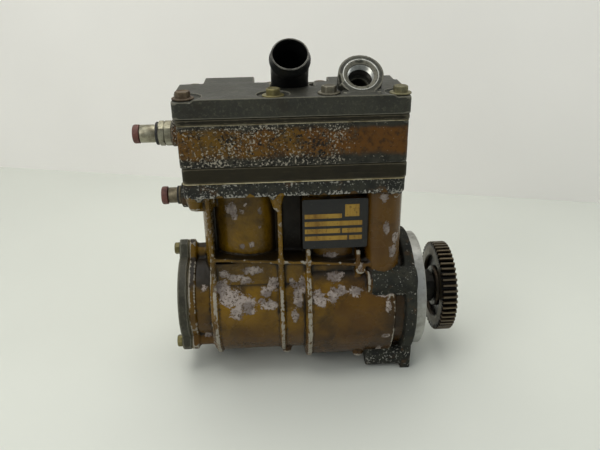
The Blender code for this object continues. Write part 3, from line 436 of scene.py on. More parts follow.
def neighbour_mean(values, edges, count):
    """Mean of each vertex's neighbours, column by column."""
    both = np.concatenate([edges[:, 0], edges[:, 1]])
    other = np.concatenate([edges[:, 1], edges[:, 0]])
    links = np.maximum(np.bincount(both, minlength=count), 1)
    return np.stack([np.bincount(both, weights=values[other, k], minlength=count) / links
                     for k in range(values.shape[1])], axis=1)


def add_attribute(mesh, name, values):
    layer = mesh.attributes.new(name, "FLOAT", "POINT")
    layer.data.foreach_set("value", np.ascontiguousarray(values, dtype=np.float32))


def ramp(values, low, high):
    """0 at low and 1 at high, straight between; low may be the larger of the two."""
    return np.clip((values - low) / (high - low), 0, 1)


def in_bench(co):
    """The x, y and z columns of points of the frame, in bench millimetres."""
    return ((co - np.array(bench(0, 0, 0))) / MM).T


def shape_masks(mesh):
    """Writes 'worn', high on outer edges, and a mask high in deep places, where the materials lay dirt and
    painted shade.
    """
    wear_radius, hollow_depth, passes = 2.4 * MM, 2.2 * MM, 14
    count = len(mesh.vertices)
    co, normal = vertices_of(mesh), vertices_of(mesh, "normal")
    edges = np.empty(len(mesh.edges) * 2, dtype=np.int64)
    mesh.edges.foreach_get("vertices", edges)
    edges = edges.reshape(-1, 2)
    squared = np.sum((co[edges[:, 0]] - co[edges[:, 1]]) ** 2, axis=1)
    ends = edges.T.ravel()
    total = np.bincount(ends, weights=np.tile(squared, 2), minlength=count)
    length = np.maximum(total / np.maximum(np.bincount(ends, minlength=count), 1), 1e-9)
    bend = -2 * np.sum((neighbour_mean(co, edges, count) - co) * normal, axis=1) / length
    worn = np.clip(bend * wear_radius, 0, 1)[:, None]
    for _ in range(2):
        worn = 0.5 * worn + 0.5 * neighbour_mean(worn, edges, count)
    # deep places, for dirt and painted shade: how far each point lies under a relaxed copy of the surface
    relaxed = co.copy()
    for _ in range(passes):
        relaxed = neighbour_mean(relaxed, edges, count)
    shade_and_dirt = np.clip(np.sum((relaxed - co) * normal, axis=1) / hollow_depth, 0, 1)
    add_attribute(mesh, "worn", np.clip(worn[:, 0] * 1.6, 0, 1))
    add_attribute(mesh, "shade_and_dirt", shade_and_dirt)


def raise_mask(mesh, name, values):
    """Lifts a mask to at least the given values."""
    data = mesh.attributes[name].data
    old = np.empty(len(data))
    data.foreach_get("value", old)
    data.foreach_set("value", np.maximum(old, values).astype(np.float32))


def keep(obj, material, replaced=(), smooth=True, body="housing"):
    """Gives a finished piece its material and body, smooths it unless told not to, and hides the CAD nodes
    it replaces.
    """
    obj.data.materials.clear()
    for mat in material if isinstance(material, (list, tuple)) else (material,):
        obj.data.materials.append(mat)
    if smooth:
        obj.data.shade_smooth()
        obj.data.set_sharp_from_angle(angle=math.radians(42))
    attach(obj, body)
    if replaced:
        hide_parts(*replaced)
    return obj


def link(name, mesh):
    obj = bpy.data.objects.new(name, mesh)
    bpy.context.scene.collection.objects.link(obj)
    return obj


def baked(obj):
    """The object's mesh with its modifiers applied."""
    depsgraph = bpy.context.evaluated_depsgraph_get()
    mesh = bpy.data.meshes.new_from_object(obj.evaluated_get(depsgraph))
    obj.modifiers.clear()
    old = obj.data
    obj.data = mesh
    bpy.data.meshes.remove(old)
    return mesh


def cone_between(bm, start, end, radius, end_radius):
    start, end = bench(*start), bench(*end)
    turn = (end - start).to_track_quat("Z", "Y").to_matrix().to_4x4()
    bmesh.ops.create_cone(bm, cap_ends=True, segments=32, radius1=radius * MM, radius2=end_radius * MM,
                          depth=(end - start).length, matrix=Matrix.Translation((start + end) / 2) @ turn)


CAST_GRAIN = bpy.data.textures.new("cast_grain", "CLOUDS")
CAST_GRAIN.noise_scale = 4.5 * MM
CAST_GRAIN.noise_depth = 2
CAST_WAVE = bpy.data.textures.new("cast_wave", "CLOUDS")
CAST_WAVE.noise_scale = 30 * MM
CAST_WAVE.noise_depth = 1


def casting(node, voxel, smoothing, rounds=(), lumps=(), grain=0.22, wave=0.4, limit=195000):
    """A cast skin over a CAD node: soft edges, true rounds, added lumps and a sand-cast surface."""
    bm = bmesh.new()
    bm.from_mesh(NODES[node].data)
    bmesh.ops.remove_doubles(bm, verts=bm.verts, dist=0.005 * MM)
    for start, end, radius, end_radius in lumps:
        cone_between(bm, start, end, radius, end_radius)
    mesh = bpy.data.meshes.new(f"{node}_skin")
    bm.to_mesh(mesh)
    bm.free()
    obj = link(f"{node}_skin", mesh)
    remesh = obj.modifiers.new("voxels", "REMESH")
    remesh.mode = "VOXEL"
    remesh.voxel_size = voxel * MM
    soften = obj.modifiers.new("soften", "SMOOTH")
    soften.factor = 0.5
    soften.iterations = smoothing
    mesh = baked(obj)
    co, normal = vertices_of(mesh), vertices_of(mesh, "normal")
    for axis, centre, radius, span in rounds:
        flat = [k for k in range(3) if k != axis]
        out = co[:, flat] - centre
        reach = np.hypot(out[:, 0], out[:, 1])
        facing = np.abs(np.sum(out * normal[:, flat], axis=1)) / np.maximum(reach, 1e-6)
        near = (np.abs(reach - radius) < 1.1 * MM) & (facing > 0.82)
        near &= (co[:, axis] > span[0]) & (co[:, axis] < span[1])
        co[np.ix_(near, flat)] = centre + out[near] * (radius / reach[near])[:, None]
    mesh.vertices.foreach_set("co", co.ravel())
    mesh.update()
    for texture, strength in ((CAST_GRAIN, grain), (CAST_WAVE, wave)):
        step = obj.modifiers.new("cast", "DISPLACE")
        step.texture = texture
        step.texture_coords = "LOCAL"
        step.strength = strength * MM
        step.mid_level = 0.5
    faces = len(mesh.polygons) * 2
    if faces > limit:
        thin = obj.modifiers.new("thin", "DECIMATE")
        thin.ratio = limit / faces
    mesh = baked(obj)
    low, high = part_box(node)
    co = vertices_of(mesh)
    mesh.vertices.foreach_set("co", np.clip(co, low, high).ravel())
    mesh.update()
    return obj


def round_at(axis, centre, radius, span):
    """A round in bench coordinates, as casting() takes it: centre skips the axis."""
    world = (HEAD_X, 0.0, AXIS_Z)
    middle = [at * MM + world[k] for at, k in zip(centre, (k for k in range(3) if k != axis))]
    return (axis, np.array(middle), radius * MM, [end * MM + world[axis] for end in span])


def ring_faces(rings, sides, closed):
    """Quads between neighbouring rings of points, and from the last to the first if closed."""
    faces = []
    for k in range(rings if closed else rings - 1):
        a, b = k * sides, (k + 1) % rings * sides
        faces += [(a + i, a + (i + 1) % sides, b + (i + 1) % sides, b + i) for i in range(sides)]
    return faces


def skin(name, verts, faces, weld=0.0):
    """A mesh with its normals outward, points nearer than weld joined."""
    mesh = bpy.data.meshes.new(name)
    mesh.from_pydata(verts, [], faces)
    bm = bmesh.new()
    bm.from_mesh(mesh)
    if weld:
        bmesh.ops.remove_doubles(bm, verts=bm.verts, dist=weld)
    bmesh.ops.recalc_face_normals(bm, faces=bm.faces)
    bm.to_mesh(mesh)
    bm.free()
    return mesh


def lofted(name, rings, sides, matrix, closed=False):
    """A skin through rings of (height, reach), where reach is a radius or a function of the angle."""
    verts = []
    for height, reach in rings:
        for i in range(sides):
            turn = 2 * math.pi * i / sides
            radius = (reach(turn) if callable(reach) else reach) * MM
            verts.append((radius * math.cos(turn), radius * math.sin(turn), height * MM))
    faces = ring_faces(len(rings), sides, closed)
    if not closed:
        for k, first in ((0, True), (len(rings) - 1, False)):
            verts.append((0, 0, rings[k][0] * MM))
            centre = len(verts) - 1
            base = k * sides
            for i in range(sides):
                j = (i + 1) % sides
                faces.append((centre, base + j, base + i) if first else (centre, base + i, base + j))
    mesh = skin(name, verts, faces, 0.002 * MM)
    mesh.transform(matrix)
    return link(name, mesh)


def aimed(origin, axis, spin=0.0):
    """Local z set along axis at a bench point."""
    turn = Vector(axis).to_track_quat("Z", "Y").to_matrix().to_4x4()
    return Matrix.Translation(bench(*origin)) @ turn @ Matrix.Rotation(spin, 4, "Z")


def hexagon(across):
    """Reach of a six-sided outline with slightly rubbed corners."""
    half, corner = across / 2, 0.985

    def reach(turn):
        off = (turn + math.pi / 6) % (math.pi / 3) - math.pi / 6
        return min(half / math.cos(off), half / math.cos(math.pi / 6) * corner)
    return reach


def least(reach, radius):
    return lambda turn: min(reach(turn), radius)


# ---- castings
BARRELS = (-52, 42)
DECK = 146
RIB_CRESTS = ((-89.4, -83.6, 65.5), (-17.9, -12.1, 65.5), (11.1, 16.9, 74))   # left, right, radius
BOLT_ROOTS = ((-17.4, -53), (-17.4, 53), (35.1, 53))


def blob(field, co, places, ragged=1.0):
    """Adds soft patches to the field: each place is (x, y, z, reach in x, reach in z)."""
    for x, y, z, wide, tall in places:
        at = bench(x, y, z)
        off = (co - np.array(at)) / (np.array((wide, PATCH_DEPTH, tall)) * MM)
        np.maximum(field, (1.0 - np.linalg.norm(off, axis=1)) * ragged, out=field)
    return field


FRONT_CHIPS = (
    # left barrel
    (-64, -45, 126, 9.5, 10), (-61, -45, 119, 5, 8),
    (-49, -46, 130, 4, 3.5), (-53, -46, 123, 4, 3.5),
    (-35, -42, 122, 3.5, 6), (-55, -46, 84, 4.5, 6),
    (-45, -46, 85, 4.5, 6), (-36, -42, 104, 3, 4),
    # under the shelf
    (-76, -39, 54, 11, 8), (-64, -45, 49, 15, 8),
    (-53, -46, 45, 11, 7.5), (-45, -45, 57, 17, 8),
    # large patch on the left of the crankcase
    (-79, -49, 38, 14, 13), (-70, -56, 28, 20, 15),
    (-55, -58, 22, 17, 13), (-64, -61, 12, 12, 11),
    (-50, -60, 14, 10, 8),
    # right of it, beside the upright rib
    (-24, -49, 41, 8.5, 14), (-32, -54, 32, 9, 9),
    (-29, -60, 19, 15, 7), (-37, -58, 24, 7, 6),
    # between the two upright ribs
    (2, -58, 27, 7.5, 20), (7, -52, 38, 5.5, 14),
    (-2, -63, 6, 6, 14), (-5, -48, 41, 4, 8),
    # right of the crankcase
    (42, -56, 48, 16, 7), (23, -66, 30, 12, 11),
    (27, -66, 24, 8, 8), (39, -65, 31, 8, 13),
    (48, -63, 36, 8, 8), (63, -63, 34, 11, 8),
    (38, -46, 70, 14, 4.5),
    # column and lugs on the right
    (94, -60, 105, 5, 12), (104, -58, 93, 6, 10),
    (102, -58, 78, 6, 11), (90, -60, 139, 7, 7),
    (91, -67, 32, 17, 5.5), (98, -69, 18, 5, 12),
    (97, -68, -20, 8, 5), (92, -55, -46, 5, 9),
    (69, -45, 58, 6, 9),
)


def back_chips():
    """A sparser set of bare patches for the sides that face away."""
    places = []
    for _ in range(26):
        x = random.uniform(-80, 100)
        z = random.uniform(-40, 130)
        y = 50 + random.uniform(-8, 12)
        places.append((x, y, z, random.uniform(4, 13), random.uniform(4, 12)))
    for _ in range(8):
        places.append((-100, random.uniform(-40, 40), random.uniform(-40, 40), 6, 6))
    return places


def crankcase():
    rounds = [
        round_at(0, (0, 0), 63.3, (-91.5, 10)),
        round_at(0, (0, 0), 72.6, (10.5, 105.5)),
        round_at(0, (0, 0), 48, (-109.5, -88.5)),
        round_at(0, (0, 0), 50, (-117.2, -110.3)),
        round_at(0, (0, 0), 72, (118.3, 129.7)),
        round_at(0, (0, 0), 66.8, (-89.2, -83.8)),
        round_at(0, (0, 0), 66.8, (-17.7, -12.3)),
        round_at(0, (0, 0), 75.2, (11.3, 16.7)),
        round_at(0, (0, 0), 57, (-83.5, 99.8)),
        round_at(0, (-35, 140), 12.8, (-113.2, -108.5)),
    ]
    for x in BARRELS:
        rounds.append(round_at(2, (x, 0), 46, (60, 145.5)))
        rounds.append(round_at(2, (x, 0), 41.3, (31, 156.3)))
    for side in (-1, 1):
        rounds.append(round_at(2, (93, side * 42), 18.5, (50, 145.5)))
        rounds.append(round_at(0, (side * 53, 40), 14.5, (76.5, 117.5)))
        rounds.append(round_at(0, (side * 41.5, -63), 13.5, (79.5, 117.5)))
    lumps = [((x, y, 128), (x, y, 147), 3.5, 9.5) for x, y in BOLT_ROOTS]
    lumps.append(((-111, 0, 0), (-87, 0, 0), 48, 48))
    for y, z in ((10, 54.5), (9.5, 50), (-34.5, -34.5)):
        lumps.append(((-111, y, z), (-87, y, z), 7.5, 8.5))
    for side in (-1, 1):
        lumps.append(((-99.5, side * 50, 130), (-99.5, side * 50, 147), 6, 10))
        lumps.append(((99.5, side * 53, 131), (99.5, side * 53, 147), 5, 9.5))
        lumps.append(((-11, side * 34, -52), (-11, side * 37.2, -59), 6, 4.5))
        lumps.append(((70, side * 44, -54), (70, side * 47, -61), 7, 5))
        lumps.append(((69, side * 48, 52), (69, side * 57, 57), 6, 5))
    obj = casting("crankcase_block", 1.5, 3, rounds, lumps)
    mesh = obj.data
    shape_masks(mesh)
    co = vertices_of(mesh)
    x, y, z = in_bench(co)
    across = np.abs(y)
    # bare metal: the deck down to a wavy line, the flange, and the faces of ears, boss and foot
    drip = 3.5 * np.sin(co[:, 0] * 190) + 2.5 * np.sin(co[:, 0] * 431 + 1.3)
    deck = ramp(z - DECK - drip, -4, 1)
    flange = ramp(x, 115, 119)
    ear = ramp(np.hypot(across - 53, z - 40), 18.5, 15.5) * ramp(x, 78, 84)
    boss = ramp(np.hypot(y + 35, z - 140), 15, 13) * ramp(x, -99, -102)
    ear = np.maximum(ear, boss)
    foot = ramp(z, -48, -52) * ramp(x, 74, 79)
    add_attribute(mesh, "zone", np.maximum.reduce([deck, flange, ear, foot]))
    salt = ramp(z, DECK + 6, DECK) * deck * 0.9 + ramp(z, DECK, DECK + 15) * 0.35
    salt += ramp(z, 32, 26) * ear * 0.6 + ear * 0.08 + foot * 0.25
    add_attribute(mesh, "salt", np.clip(salt, 0, 1))
    reach = np.hypot(y, z)
    for left, right, radius in RIB_CRESTS:
        crest = (x > left) & (x < right) & (reach > radius) & ((reach < radius + 3.5) | (across > 36))
        raise_mask(mesh, "worn", crest * 0.44)
    # painted shade between the barrels; darker on the shelf's upward faces and towards the lower right
    # corner
    barrel_gap_shade = ramp(across, 41, 33) * (z > 58) * (z < 144) * (x > -83.5) * (x < 78)
    shelf = np.clip((vertices_of(mesh, "normal")[:, 2] - 0.45) * 3, 0, 0.75) * (z > 20) * (z < 80)
    corner = np.clip((x - 52) / 110, 0, 0.50) * (z < 60)
    raise_mask(mesh, "shade_and_dirt", np.maximum.reduce([barrel_gap_shade, shelf, corner]))
    flake = blob(np.zeros(len(co)), co, FRONT_CHIPS)
    add_attribute(mesh, "flake", blob(flake, co, back_chips(), 0.85))
    return keep(obj, PAINT, ["crankcase_block"], smooth=False)


def head_block():
    rounds = [round_at(0, (-35, 205), 13.1, (-116.2, -110))]
    obj = casting("head_body", 1.3, 2, rounds, grain=0.4, wave=0.3, limit=150000)
    shape_masks(obj.data)
    add_attribute(obj.data, "salt", np.full(len(obj.data.vertices), 0.5))
    return keep(obj, HEAD, ["head_body"], smooth=False)


def cover():
    rounds = [round_at(2, (0, -3.5), 23.2, (231.2, 236.2))]
    obj = casting("head_cover", 1.1, 2, rounds, grain=0.22, wave=0.3, limit=180000)
    mesh = obj.data
    # the port's boss made truly round about its tilted axis
    co = vertices_of(mesh)
    face = np.array(bench(*PORT_MIDDLE))
    axis = np.array([0.0, -math.sin(TILT), math.cos(TILT)])
    off = (co - face) / MM
    along = off @ axis
    out = off - np.outer(along, axis)
    reach = np.linalg.norm(out, axis=1)
    for radius, deepest in ((21.5, -13), (12.5, -19.5), (16.5, -1.2)):
        near = (np.abs(reach - radius) < 1) & (along < 0.2) & (along > deepest)
        out[near] *= (radius / reach[near])[:, None]
    co = face + (np.outer(along, axis) + out) * MM
    mesh.vertices.foreach_set("co", np.clip(co, cover_low, cover_high).ravel())
    mesh.update()
    shape_masks(mesh)
    x, _, z = in_bench(co)
    add_attribute(mesh, "salt", ramp(x, 30, 110) * ramp(z, 253, 233) * 0.45)
    return keep(obj, COVER, ["head_cover"], smooth=False)


def plain_casting(node, material, voxel, grain, rounds=()):
    obj = casting(node, voxel, 2, rounds, grain=grain, wave=0.2, limit=90000)
    shape_masks(obj.data)
    add_attribute(obj.data, "salt", np.zeros(len(obj.data.vertices)))
    return keep(obj, material, [node], smooth=False)


crankcase()
head_block()
cover()
plain_casting("valve_plate", PLATE, 1.4, 0.06)
plain_casting("intermediate_plate", BAND, 1.4, 0.12)
plain_casting("end_cover", END, 1.2, 0.25,
              rounds=[round_at(0, (0, 0), 52.2, (-128.5, -118.7))])


# ---- gasket edges
def gasket_edge(name, node, material, out, thick, wobble):
    """The squeezed-out edge of a gasket: a ragged strip round the stack."""
    low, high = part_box(node)
    corner, count = 5 * MM, 520
    out, thick, wobble = out * MM, thick * MM, wobble * MM
    middle = (low + high) / 2
    half = (high - low) / 2
    rings = []
    shifts = [random.uniform(0, 6.28) for _ in range(5)]
    for level, pull in ((low.z, 0), (low.z + thick * 0.25, 1), (high.z - thick * 0.25, 1), (high.z, 0)):
        ring = []
        for i in range(count):
            s = i / count * 2 * math.pi
            c, d = math.cos(s), math.sin(s)
            scale = min(half.x / max(abs(c), 1e-6), half.y / max(abs(d), 1e-6))
            px, py = c * scale, d * scale
            cx, cy = half.x - corner, half.y - corner
            if abs(px) > cx and abs(py) > cy:
                gone = Vector((abs(px) - cx, abs(py) - cy)).normalized() * corner
                px, py = math.copysign(cx + gone.x, px), math.copysign(cy + gone.y, py)
            away = Vector((px, py)).normalized()
            wave = sum(math.sin(s * f + shifts[k]) for k, f in enumerate((23, 57, 91, 143, 211))) / 5
            push = pull * (out + wobble * wave)
            lift = wobble * 0.5 * math.sin(s * 37 + shifts[0])
            ring.append((middle.x + px + away.x * push, middle.y + py + away.y * push, level + lift * 0.4))
        rings.append(ring)
    inner = [[(middle.x + (x - middle.x) * 0.985, middle.y + (y - middle.y) * 0.975, z) for x, y, z in ring]
             for ring in (rings[-1], rings[0])]
    rings += inner
    mesh = skin(name, [v for ring in rings for v in ring], ring_faces(len(rings), count, True))
    return keep(link(name, mesh), material, smooth=False)


gasket_edge("head_gasket_edge", "head_gasket", GASKET, 0.6, 0.7, 0.22)
gasket_edge("cover_gasket_edge", "cover_gasket", THIN_GASKET, 0.2, 0.5, 0.45)


# ---- bolts
def bolt(node, axis, material, across=13.0, washer=10.5):
    """A hexagon bolt with its washer, chamfered head and shallow dished top."""
    spin = random.uniform(0, 1.05)
    low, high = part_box(node)
    k = [abs(v) for v in axis].index(1)
    length = (high[k] - low[k]) / MM
    tip = (low + high) / 2
    tip[k] = low[k] if axis[k] > 0 else high[k]
    head = 5.8 if washer else 5.5
    seat = length - head - (1.6 if washer else 0)
    shank = 4 if washer else 3
    six = hexagon(across)
    rings = [(0, shank - 0.8), (1, shank), (seat - 2, shank), (seat, shank)]
    base = seat
    if washer:
        rings += [(seat, washer - 0.4), (seat + 0.3, washer), (seat + 1.2, washer),
                  (seat + 1.6, washer - 0.6), (seat + 1.6, across * 0.56)]
        base = seat + 1.6
    else:
        rings += [(seat, across * 0.50)]
    top = base + head
    rings += [(base + 0.1, six), (top - 1.2, six), (top - 0.6, least(six, across * 0.545)),
              (top, least(six, across * 0.485)), (top, across * 0.40), (top - 0.6, across * 0.34)]
    matrix = aimed((tip - bench(0, 0, 0)) / MM, axis, spin)
    return keep(lofted(f"{node}_visual", rings, 48, matrix), material, [node])


HEAD_FINISH = {"front": (RUSTY, ZINC, GREY_BOLT, DULL_ZINC), "rear": (DULL_ZINC, GREY_BOLT, RUSTY, ZINC)}
for row, finishes in HEAD_FINISH.items():
    for number, finish in enumerate(finishes, 1):
        bolt(f"head_bolt_{row}_{number}", (0, 0, 1), finish)
for node in sorted(name for name in NODES if name.startswith("end_cover_bolt")):
    bolt(node, (-1, 0, 0), ZINC, across=12.2, washer=0)


# ---- hose tail
def hose_tail():
    """Bent tube with a rolled bead near its mouth; wall, lip and inside in one skin."""
    radius, wall, sides = 18.7, 1.8, 72
    bend, y, z = 30, -3.5, 237.6
    path = [(y, 226.2, 0, 0), (y, 232, 0, 0), (y, z, 0, 0)]
    for i in range(1, 13):
        turn = TILT * i / 12
        path.append((y - bend * (1 - math.cos(turn)), z + bend * math.sin(turn), turn, 0))
    y, z, _, _ = path[-1]
    bead = ((4, 0), (8, 0), (10, 0.1), (12, 0.5), (13.8, 1.1), (15.5, 1.4),
            (17.5, 1.4), (19.2, 0.9), (21, 0.1), (23, -0.3), (25, -0.6))
    for reach, swell in bead:
        path.append((y - reach * math.sin(TILT), z + reach * math.cos(TILT), TILT, swell))
    outer = [(py, pz, turn, radius + swell) for py, pz, turn, swell in path]
    inner = [(py, pz, turn, radius - wall + swell * 0.7) for py, pz, turn, swell in path]
    ly, lz, _, _ = path[-1]
    lip = []
    for share in (0.0, 0.35, 0.65, 1.0):
        reach = 0.7 * math.sin(math.pi * share)
        lip.append((ly - reach * math.sin(TILT), lz + reach * math.cos(TILT), TILT,
                    radius - 0.8 - (wall - 0.4) * share))
    rings = outer + lip + list(reversed(inner))
    verts = []
    for py, pz, turn, r in rings:
        centre = bench(0, py, pz)
        across = Vector((0, math.cos(turn), math.sin(turn)))
        for i in range(sides):
            a = 2 * math.pi * i / sides
            verts.append(centre + (Vector((1, 0, 0)) * math.cos(a) + across * math.sin(a)) * (r * MM))
    mesh = skin("inlet_pipe_visual", verts, ring_faces(len(rings), sides, True))
    rim = range((len(outer) - 1) * sides, (len(outer) + len(lip) - 1) * sides)
    obj = keep(link("inlet_pipe_visual", mesh), (BLACK, BARE_RIM), ["inlet_pipe"])
    for i in rim:
        mesh.polygons[i].material_index = 1
    return obj


hose_tail()


# ---- port thread
def port_thread():
    """The delivery port's bright chamfer and its thread, a thin sleeve inside the cover's bore."""
    rings = [(-0.2, 17.2), (0.2, 17), (0.2, 16.4), (-0.4, 15.8), (-2.8, 12.4)]
    pitch = 1.5
    turns = 10
    for i in range(turns):
        z = -2.8 - pitch * i
        rings += [(z - pitch * 0.15, 12.4), (z - pitch * 0.5, 11.7), (z - pitch * 0.65, 11.7),
                  (z - pitch, 12.4)]
    end = -2.8 - pitch * turns
    rings += [(end, 12.7), (-2.8, 12.9), (-0.5, 16.55)]
    matrix = aimed(PORT_MIDDLE, (0, -math.sin(TILT), math.cos(TILT)))
    obj = lofted("port_thread", rings, 72, matrix, closed=True)
    keep(obj, (PORT_BRIGHT, DARK_STEEL))
    for face in obj.data.polygons:
        if (matrix.inverted() @ face.center).z < -10.5 * MM:
            face.material_index = 1
    return obj


port_thread()


# ---- coolant fittings and caps
def turned(name, rings, at, material, replaced=(), spin=0.0, sides=60, closed=True):
    """A piece turned about an axis that runs left from a bench point."""
    obj = lofted(name, rings, sides, aimed(at, (-1, 0, 0), spin), closed)
    return keep(obj, material, replaced)


def fittings():
    at, six = (-116.8, -35, 205), hexagon(25 * FLATS)
    rings = [(-10, 8), (-0.4, 8.2), (-0.4, 9.8), (0, 10.4), (0, 10.4),
             (0.2, six), (5.8, six), (6.2, least(six, 11.6)), (6.4, 10), (6.8, 10),
             (7, least(six, 11.6)), (7.4, six), (11.6, six), (12.5, least(six, 10.8)),
             (12.5, 9.6), (15.5, 9.6), (15.8, 8.6), (16.8, 8.6), (18, 8.8),
             (30, 8.8), (30.8, 8.2), (30.8, 5.5), (-10, 5.5)]
    turned("coolant_fitting_upper_visual", rings, at, SILVER, ["coolant_fitting_upper"], 0.12)
    rings = [(12.8, 9.8), (12.6, 10.8), (13.4, 11.2), (14.6, 11.2), (15.3, 10.6), (15, 9.7)]
    turned("fitting_seal_upper", rings, at, RUBBER)
    at = (-113.8, -35, 140)
    rings = [(-10, 8), (0, 8.2), (0, 9.2), (0.5, 9.5), (1.8, 9.5), (2.2, 8),
             (12, 8), (12.8, 7.4), (12.8, 5.5), (-10, 5.5)]
    turned("coolant_fitting_lower_visual", rings, at, BRASS, ["coolant_fitting_lower"])
    rings = [(2, 8), (1.8, 9), (2.5, 9.4), (3.6, 9.3), (4, 8)]
    turned("fitting_seal_lower", rings, at, RUBBER)
    rings = [(-7.8, 4.4), (-7, 4.8), (-0.2, 4.9), (0, 8), (0.4, 9.1), (4.6, 9.2),
             (5.8, 8.8), (6.4, 7.8), (6.4, 5.2), (5.6, 4.6), (5.4, 1.2)]
    for node, x, z in (("plug_cap_upper", -147.9, 205), ("plug_cap_lower", -127.1, 140)):
        turned(f"{node}_visual", rings, (x, -35, z), RED_CAP, [node],
               sides=48, closed=False)


fittings()


# ---- data plate
def rounded_slab(bm, x, z, y, radius):
    """A thin upright plate with round corners and a soft front edge, added to bm."""
    corners = ((x[1] - radius, z[1] - radius, 0), (x[0] + radius, z[1] - radius, 90),
               (x[0] + radius, z[0] + radius, 180), (x[1] - radius, z[0] + radius, 270))
    edge, steps = 0.1, 4
    rings = []
    for depth, inset in ((y[1], 0.0), (y[0] + edge, 0.0), (y[0], edge)):
        ring = []
        for cx, cz, start in corners:
            for k in range(steps + 1):
                a = math.radians(start + 90 * k / steps)
                reach = radius - inset
                ring.append(bm.verts.new(bench(cx + reach * math.cos(a), depth, cz + reach * math.sin(a))))
        rings.append(ring)
    count = len(rings[0])
    for a, b in zip(rings, rings[1:]):
        for i in range(count):
            bm.faces.new((a[i], a[(i + 1) % count], b[(i + 1) % count], b[i]))
    bm.faces.new(rings[0])
    bm.faces.new(reversed(rings[-1]))


def data_plate():
    """A black plate with plain gold fields and no lettering."""
    plate = ((8.2, 75.6), (80.8, 136.2), (-52.1, -51.5), 2.2)
    fields = [(x, z, (-52.25, -52), 0.5) for x, z in (
        ((52, 66.8), (116.5, 130)), ((10.5, 48.8), (115, 120)), ((10.5, 70), (106.5, 111.8)),
        ((10.5, 47.4), (98.2, 103.4)), ((49, 70), (98.2, 103.4)), ((10.5, 54.8), (90.2, 95.2)),
        ((56.4, 70), (90.2, 95.2)))]
    for name, shapes, material, replaced in (("data_plate_visual", [plate], LABEL, ["data_plate"]),
                                             ("data_plate_fields", fields, GOLD, ())):
        bm = bmesh.new()
        for x, z, y, radius in shapes:
            rounded_slab(bm, x, z, y, radius)
        bmesh.ops.recalc_face_normals(bm, faces=bm.faces)
        mesh = bpy.data.meshes.new(name)
        bm.to_mesh(mesh)
        bm.free()
        keep(link(name, mesh), material, replaced)


data_plate()


# ---- carrier, gear and nut
def carrier():
    rings = [(0, 57.7), (0, 65), (0.6, 65.6), (10, 65.6), (11, 64.6), (11, 60),
             (10.6, 59.6), (10.6, 42), (11, 41.6), (11, 24.6), (10.4, 24),
             (6, 24), (6, 32.3), (-14, 32.3), (-14, 57.1), (-13.4, 57.7)]
    obj = lofted("bearing_carrier_visual", rings, 144, aimed((130.3, 0, 0), (1, 0, 0)), closed=True)
    return keep(obj, TURNED, ["bearing_carrier"])


def gear():
    """Fifty straight teeth with rounded flanks and broken edges, a recessed web and a hub."""
    teeth, module, per_tooth = 50, 2, 14
    tip = module * (teeth + 2) / 2
    root = tip - 2.25 * module
    half, middle = 8.4, 171.6

    def toothed(shrink):
        def reach(turn):
            share = abs((turn * teeth / (2 * math.pi) + 0.5) % 1 - 0.5)
            climb = min(max((0.345 - share) / 0.205, 0.0), 1.0) ** 0.85
            return root + (tip - root) * climb - shrink * (0.3 + 0.7 * climb)
        return reach
    side = [(half - 0.2, 15), (half, 15.2), (half, 22.9), (half - 0.6, 23.5), (half - 5, 23.8),
            (half - 5, 36.1), (half - 0.6, 36.4), (half, 37), (half, root - 2.2), (half, toothed(0.9)),
            (half - 0.7, toothed(0))]
    rings = side + [(-height, reach) for height, reach in reversed(side)]
    obj = lofted("drive_gear_visual", rings, teeth * per_tooth, aimed((middle, 0, 0), (1, 0, 0)),
                 closed=True)
    x, y, z = in_bench(vertices_of(obj.data))
    reach, beyond = np.hypot(y, z), np.abs(x - middle) - half
    edge = ramp(reach, tip - 0.7, tip - 0.2) * ramp(beyond, -1.3, -0.7)
    face = (beyond > -0.5) & (reach > 36.8) & (reach < root - 1)
    add_attribute(obj.data, "worn", np.maximum(edge, face * 0.66))
    # painted shade: darker towards the tooth roots and in the recessed web
    shade_and_dirt = ramp(reach, tip - 1.2, tip - 3.8) * (reach > root - 0.4)
    recess_shade = (reach > 23.2) & (reach < 36.6) & (beyond < -2)
    add_attribute(obj.data, "shade_and_dirt", np.maximum(shade_and_dirt, recess_shade * 0.75))
    return keep(obj, GEAR, ["drive_gear"], body="crank_train")


def nut():
    low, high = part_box("gear_nut")
    thick = (high.x - low.x) / MM
    six = hexagon(33 * FLATS)
    rings = [(0, least(six, 13.8)), (0.6, six), (thick - 1.2, six), (thick - 0.4, least(six, 15)),
             (thick, least(six, 13.8)), (thick, 10.2), (thick - 0.8, 9.5), (0.8, 9.5), (0, 10.2)]
    matrix = aimed(((low.x - HEAD_X) / MM, 0, 0), (1, 0, 0), 0.2)
    obj = lofted("gear_nut_visual", rings, 60, matrix, closed=True)
    return keep(obj, DARK_STEEL, ["gear_nut"], body="crank_train")


carrier()
gear()
nut()


# ---- pieces that keep their CAD shape
INSIDE = {
    "machined_steel": MACHINED, "bright_alloy": ALLOY, "bearing_bronze": BRONZE,
    "black_steel": DARK_STEEL, "gasket_paper": GASKET,
}
for obj in NODES.values():
    if not obj.hide_render:
        obj.data.materials[0] = INSIDE[obj.data.materials[0].name]
NODES["crankshaft"].data.materials[0] = DARK_STEEL


# ---- floor, wall, light and camera
def stage_material(name, color, rough):
    g = Graph(name)
    tone = g.mix(g.span(g.noise(1.6, 3.0), 0.3, 0.7), color, tuple(c * 0.95 for c in color[:3]) + (1.0,))
    return g.finish(tone, rough, 0.0, g.bump(g.noise(90.0, 3.0), 0.0001, 0.3))


def sheet_of(name, corners, material):
    mesh = bpy.data.meshes.new(name)
    mesh.from_pydata(corners, [], [tuple(range(len(corners)))])
    obj = link(name, mesh)
    mesh.materials.append(material)
    return obj


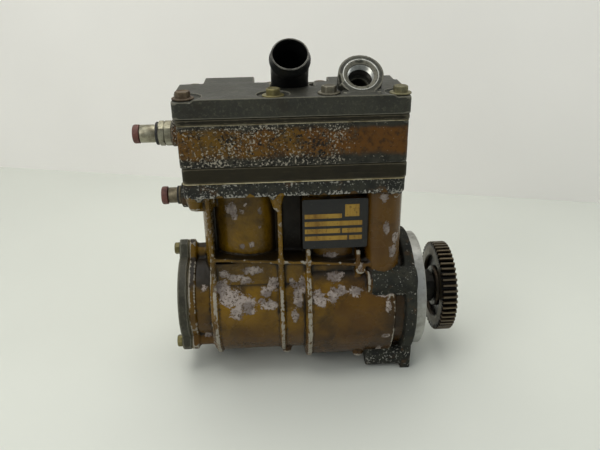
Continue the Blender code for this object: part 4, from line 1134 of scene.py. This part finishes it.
# the line where floor and wall meet, run on past both edges of the view
left, right = Vector((-0.655, 0.733, 0)), Vector((0.578, 0.402, 0))
run = (right - left).normalized()
left, right = left - run * 3.0, right + run * 3.0
ahead, up = Vector((run.y, -run.x, 0)) * 4.0, Vector((0, 0, 3.0))
sheet_of("floor", [left, left + ahead, right + ahead, right],
         stage_material("floor_paper", srgb(213, 215, 206, 1.0), 0.45))
sheet_of("wall", [left, right, right + up, left + up],
         stage_material("wall_paper", srgb(246, 243, 237, 1.0), 0.8))

world = bpy.data.worlds.new("studio")
bpy.context.scene.world = world
world.use_nodes = True
sky = world.node_tree.nodes["Background"].inputs
sky["Color"].default_value = (0.90, 0.96, 1.0, 1)
sky["Strength"].default_value = 0.42


def area_light(name, place, target, size, power, color):
    data = bpy.data.lights.new(name, "AREA")
    data.shape = "RECTANGLE"
    data.size, data.size_y = size
    data.energy = power
    data.color = color
    obj = bpy.data.objects.new(name, data)
    bpy.context.scene.collection.objects.link(obj)
    obj.location = place
    obj.rotation_euler = (Vector(target) - Vector(place)).to_track_quat("-Z", "Y").to_euler()
    return obj


area_light("ceiling_light", (-0.25, 0.10, 1.7), (0, 0, 0.1), (1.6, 1.1), 18, (1.0, 0.99, 0.95))
area_light("window_light", (-1.3, -1.0, 1.1), (0, 0, 0.15), (0.9, 0.9), 8.5, (1.0, 0.99, 0.96))
area_light("side_light", (1.5, -0.3, 0.9), (0, 0, 0.15), (0.8, 0.8), 3.5, (0.95, 0.98, 1.0))

camera_data = bpy.data.cameras.new("camera")
camera_data.sensor_width = 36.0
camera_data.lens = 36.294
camera = bpy.data.objects.new("camera", camera_data)
bpy.context.scene.collection.objects.link(camera)
CAMERA_RIGHT = Vector((0.99831, -0.05604, -0.01546))
CAMERA_UP = Vector((0.03735, 0.41457, 0.90925))
CAMERA_AHEAD = Vector((0.04454, 0.90829, -0.41596))
turn = Matrix((CAMERA_RIGHT, CAMERA_UP, -CAMERA_AHEAD)).transposed()
camera.matrix_world = Matrix.Translation((-0.037, -0.6161, 0.4441)) @ turn.to_4x4()
bpy.context.scene.camera = camera
bpy.context.scene.view_settings.view_transform = "Standard"
